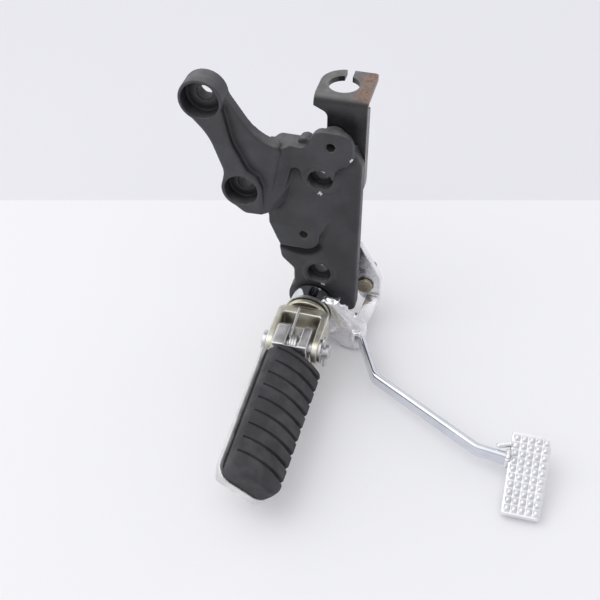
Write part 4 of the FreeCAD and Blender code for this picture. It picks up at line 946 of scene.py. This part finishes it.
@dataclass
class BrakePedal:
    """Chromed pedal with its plated welds."""

    chrome: tuple[str, ...] = ("pedal_tube", "pedal_arm")
    bar_left: float = 86.0
    bar_right: float = 91.0
    bar_top: float = -142.8
    bar_foot: float = -150.4
    bar_face: float = -14.9
    pad_side: float = 183.6
    pivot: tuple[float, float] = (57.5, -135.2)
    tube_radius: float = 12.3
    strap_twist: float = 34.0
    rod_pin_place: tuple[float, float] = (85.0, -135.5)
    rod_pin_radius: float = 4.0
    lever_face: float = 21.1
    pad_tilt: float = 17.0
    pad_place: Point = (194.0, -92.3, -145.0)
    lobe_skin: Skin = Skin(0.0006, 30)
    root_skin: Skin = Skin(0.0004, 9)
    strap_skin: Skin = Skin(0.0004, 5)
    pad_skin: Skin = Skin(0.0003, 14)
    lobe: tuple[Point, ...] = ((72.5, -11.2, -127.6), (78.0, -11.4, -131.6), (91.6, -12.0, -142.6),
                               (91.9, -14.2, -146.0), (91.4, -14.4, -153.4), (80.0, -14.2, -155.4),
                               (76.5, -12.5, -152.0), (74.0, -11.2, -146.0))
    lobe_back: float = -6.0
    pin_head_from: float = 0.2
    pin_head_share: float = 0.6
    strap_cuts: int = 13
    strap_cut_from: float = -4.0
    strap_cut_step: float = 2.0
    strap_back: float = 20.5
    strap_run: float = 25.1
    strap_front: float = -4.6
    strap_left: float = 84.7
    strap_drift: float = 2.3
    strap_length: float = 29.8
    strap_top: float = -143.0
    stud_foot: float = -1.6
    stud_left: float = -9.0
    stud_near: float = -20.5
    stud_span: float = 41.0
    stud_reach: float = 43.4
    stud_limits: tuple[float, float] = (9.2, 20.8)
    stud_widening: tuple[float, float] = (1.02, 0.05)

    def build(self) -> None:
        """Dress the pedal's solids and make the forged and welded ones."""
        dress(CHROME, *self.chrome)
        dress(BRONZE, "pedal_bushes")
        scuffed = SCUFFED_CHROME.material()
        self.forged_root(scuffed)
        self.twisted_strap(scuffed)
        self.rod_pin()
        self.cast_pad()

    def forged_root(self, chrome: bpy.types.Material) -> bpy.types.Object:
        """Root plate with a smooth lobe and the welds that hold the tube, bar and strap.

        Args:
            chrome: its material.

        Returns:
            The root plate.
        """
        shape = solid_copy("pedal_root")
        add_hull(shape, [*self.lobe, *((x, self.lobe_back, z) for x, _, z in self.lobe)])
        shape = reskin(shape, self.lobe_skin)
        for bead in self.root_beads():
            bead.add_to(shape)
        root = piece("forged_root", reskin(shape, self.root_skin), chrome, Body.PEDAL)
        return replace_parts(root, "pedal_root")

    def rod_pin(self) -> bpy.types.Object:
        """Pin for the brake rod, with a small head in front of the lever.

        Returns:
            The pin.
        """
        shape = solid_copy("lever_pin")
        x, z = self.rod_pin_place
        for vert in shape.verts:
            out = Vector((vert.co.x - x * MM, 0.0, vert.co.z - z * MM))
            past = out.length / MM - self.rod_pin_radius
            if past > self.pin_head_from and vert.co.y < self.lever_face * MM:
                vert.co -= out.normalized() * past * self.pin_head_share * MM
        # the pin's dark zinc carries painted shade
        pin = piece("rod_pin", shape, DULL_SHADED_ZINC.material(), Body.PEDAL)
        for polygon in pin.data.polygons:
            polygon.use_smooth = False
        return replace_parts(pin, "lever_pin")

    def twisted_strap(self, chrome: bpy.types.Material) -> bpy.types.Object:
        """Lever and strap, the strap twisting as it comes forward to the root plate.

        Args:
            chrome: its material.

        Returns:
            The lever with its strap.
        """
        shape = solid_copy("rear_lever")
        for step in range(self.strap_cuts):
            everything = list(shape.verts) + list(shape.edges) + list(shape.faces)
            cut = metres((0.0, self.strap_cut_from + self.strap_cut_step * step, 0.0))
            bmesh.ops.bisect_plane(shape, geom=everything, plane_co=cut, plane_no=(0.0, 1.0, 0.0))
        for vert in shape.verts:
            x, y, z = vert.co / MM
            share = min(1.0, max(0.0, (self.strap_back - y) / self.strap_run))
            turn = math.radians(self.strap_twist) * share * share * (3 - 2 * share)
            left = self.strap_left + self.strap_drift * (y - self.strap_front) / self.strap_length
            across, down = x - left, z - self.strap_top
            if share > 0:
                vert.co = metres((left + across * math.cos(turn) + down * math.sin(turn), y,
                                  self.strap_top + down * math.cos(turn) - across * math.sin(turn)))
        lever = piece("twisted_strap", reskin(shape, self.strap_skin), chrome, Body.PEDAL)
        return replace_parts(lever, "rear_lever")

    def cast_pad(self) -> bpy.types.Object:
        """Foot pad with rounded studs that reach its far edge.

        Returns:
            The pad.
        """
        shape = solid_copy("foot_pad")
        tilt = Matrix.Rotation(math.radians(-self.pad_tilt), 4, "X")
        level = tilt @ Matrix.Translation(-metres(self.pad_place))
        back = level.inverted()
        across, down = self.stud_limits
        wider, taper = self.stud_widening
        for vert in shape.verts:
            place = (level @ vert.co) / MM
            if place.z > self.stud_foot and abs(place.x) < across and abs(place.y) < down:
                along = (place.y - self.stud_near) / self.stud_span
                place.x = self.stud_left + (place.x - self.stud_left) * (wider + taper * along)
                place.y = self.stud_near + along * self.stud_reach
                vert.co = back @ metres(place)
        for bead in self.pad_beads():
            bead.add_to(shape)
        skinned = reskin(shape, self.pad_skin)
        pad = piece("cast_pad", skinned, CAST_CHROME.material(), Body.PEDAL)
        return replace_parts(pad, "foot_pad")

    def tube_arc(self, depth: float, start: float, end: float, count: int = 9) -> list[Point]:
        """Points round the tube at one depth, between two angles in degrees."""
        points = []
        for index in range(count):
            turn = math.radians(start + (end - start) * index / (count - 1))
            points.append((self.pivot[0] + self.tube_radius * math.cos(turn), depth,
                           self.pivot[1] + self.tube_radius * math.sin(turn)))
        return points

    def root_beads(self) -> list[WeldBead]:
        """Beads at the tube, the bar's start and the strap."""
        corners = ((self.bar_left, self.bar_foot), (self.bar_left, self.bar_top),
                   (self.bar_right, self.bar_top), (self.bar_right, self.bar_foot))
        around_bar = [(x, self.bar_face, z) for x, z in corners]
        return [
            WeldBead(self.tube_arc(-4.3, 44.0, -58.0), 1.5),
            WeldBead([(66.6, -10.4, -126.6), (66.6, -5.0, -126.6)], 1.5),
            WeldBead(around_bar, 1.9, 4.0, 0.25),
            WeldBead([(67.4, -7.0, -126.4), (72.0, -7.0, -126.8), (80.0, -7.4, -133.2)], 2.9, 6.0, 0.30),
            WeldBead([(80.0, -6.6, -133.2), (87.0, -6.4, -138.8), (91.0, -6.4, -142.4)], 2.1, 6.0, 0.30),
            WeldBead([(85.4, -4.4, -143.4), (91.0, -4.4, -145.6)], 1.4, 1.6, 0.2),
        ]

    def pad_beads(self) -> list[WeldBead]:
        """Bead round the bar's end at the foot pad."""
        near, far = -79.9, -84.6
        corners = ((near, self.bar_foot), (near, self.bar_top), (far, self.bar_top), (far, self.bar_foot))
        return [WeldBead([(self.pad_side, y, z) for y, z in corners], 1.5, 1.6, 0.2),
                WeldBead([(176.8, -79.0, -141.6), (185.6, -75.6, -141.4)], 1.7)]


@dataclass
class Studio:
    """Pale table and backdrop, soft light, and the camera at the photograph's angle."""

    eye: Point = (160.75, -426.5, 272.9)
    target: Point = (49.4, 1.0, -139.0)
    floor_level: float = -158.2
    floor_reach: float = 4000.0
    seam: float = 0.1127
    table: Colour = (0.885, 0.885, 0.90)
    backdrop: Colour = (0.80, 0.795, 0.83)
    sky: float = 0.84
    sun: float = 0.65
    box: float = 0.6
    seam_blur: float = 0.001
    front_shade: tuple[float, ...] = (-0.9, 0.2, 0.8, 1.1)
    side_shade: tuple[float, ...] = (-0.5, 0.95, 1.06, 0.76)
    air: tuple[float, ...] = (0.97, 0.97, 1.0, 1.0)
    sun_angle: float = 80
    sun_place: Point = (-260.0, -160.0, 640.0)
    box_size: float = 0.5
    box_place: Point = (-420.0, -160.0, 560.0)
    sensor: float = 36.0
    nearest: float = 0.01

    def build(self) -> None:
        """Make the stage, the light and the camera."""
        self.make_floor()
        self.make_world()
        self.make_lamps()
        self.make_camera()

    def make_floor(self) -> None:
        """Level sheet whose far part is the greyer backdrop."""
        shape = bmesh.new()
        place = Matrix.Translation(metres((0, 0, self.floor_level)))
        bmesh.ops.create_grid(shape, x_segments=2, y_segments=2, size=self.floor_reach * MM, matrix=place)
        mesh = bpy.data.meshes.new("table_sheet")
        shape.to_mesh(mesh)
        shape.free()
        g = Graph("table_sheet")
        level = Vector(self.target) - Vector(self.eye)
        level.z = 0.0
        depth = g.vectors("DOT_PRODUCT", g.place, tuple(level.normalized())).outputs["Value"]
        far = g.span(depth, self.seam - self.seam_blur, self.seam + self.seam_blur)
        tone = g.mix(far, self.table, self.backdrop)
        g.surface(Base_Color=tone, Roughness=0.9, Specular_IOR_Level=0.1)
        mesh.materials.append(g.material)
        floor = bpy.data.objects.new("table_sheet", mesh)
        bpy.context.scene.collection.objects.link(floor)

    def make_world(self) -> None:
        """Pale surroundings that are darker on the camera's side and to the right."""
        world = bpy.data.worlds.new("studio")
        bpy.context.scene.world = world
        world.use_nodes = True
        tree = world.node_tree
        tree.nodes.clear()
        split = tree.nodes.new("ShaderNodeSeparateXYZ")
        tree.links.new(tree.nodes.new("ShaderNodeTexCoord").outputs["Generated"], split.inputs[0])
        low, high, left, right = self.side_shade
        sides = (low, high, left * self.sky, right * self.sky)
        power = tree.nodes.new("ShaderNodeMath")
        power.operation = "MULTIPLY"
        tree.links.new(self.ramp(tree, split.outputs["Y"], self.front_shade), power.inputs[0])
        tree.links.new(self.ramp(tree, split.outputs["X"], sides), power.inputs[1])
        background = tree.nodes.new("ShaderNodeBackground")
        background.inputs["Color"].default_value = self.air
        tree.links.new(power.outputs[0], background.inputs["Strength"])
        output = tree.nodes.new("ShaderNodeOutputWorld")
        tree.links.new(background.outputs[0], output.inputs[0])

    def ramp(self, tree: bpy.types.NodeTree, source: Socket, numbers: Sequence[float]) -> Socket:
        """Smooth step in the world's tree.

        Args:
            tree: the world's nodes.
            source: what is stepped.
            numbers: the range in, then the range out.

        Returns:
            The stepped value.
        """
        node = tree.nodes.new("ShaderNodeMapRange")
        node.interpolation_type = "SMOOTHSTEP"
        tree.links.new(source, node.inputs[0])
        for socket, number in zip(list(node.inputs)[1:5], numbers):
            socket.default_value = number
        return node.outputs[0]

    def make_lamps(self) -> None:
        """Wide soft sun and a soft box."""
        sun = bpy.data.lights.new("wide_sun", "SUN")
        sun.energy = self.sun
        sun.angle = math.radians(self.sun_angle)
        self.aim(sun, self.sun_place)
        box = bpy.data.lights.new("soft_box", "AREA")
        box.energy = self.box
        box.size = self.box_size
        self.aim(box, self.box_place)

    def aim(self, light: bpy.types.Light, place: Point) -> None:
        """Hang a lamp at a place and point it at the part.

        Args:
            light: the lamp.
            place: where it hangs, in millimetres.
        """
        lamp = bpy.data.objects.new(light.name, light)
        lamp.location = metres(place)
        lamp.rotation_euler = (metres(self.target) - metres(place)).to_track_quat("-Z", "Y").to_euler()
        bpy.context.scene.collection.objects.link(lamp)

    def make_camera(self) -> None:
        """Camera with the photograph's place and field of view."""
        lens = bpy.data.cameras.new("camera")
        lens.sensor_width = self.sensor
        lens.lens = lens.sensor_width * FOCAL_PIXELS / PHOTO_SIDE
        lens.clip_start = self.nearest
        camera = bpy.data.objects.new("camera", lens)
        camera.location = metres(self.eye)
        view = metres(self.target) - metres(self.eye)
        camera.rotation_euler = view.to_track_quat("-Z", "Y").to_euler()
        bpy.context.scene.collection.objects.link(camera)
        bpy.context.scene.camera = camera


def main() -> None:
    """Build the sub-assemblies in order and set the stage."""
    logging.basicConfig(level=logging.INFO, format="%(message)s")
    bpy.context.scene.view_settings.view_transform = "Standard"
    for part in (Casting(), Footrest(), BrakePedal(), Studio()):
        part.build()
        LOG.info("%s done", type(part).__name__)


if __name__ == "__main__":
    main()
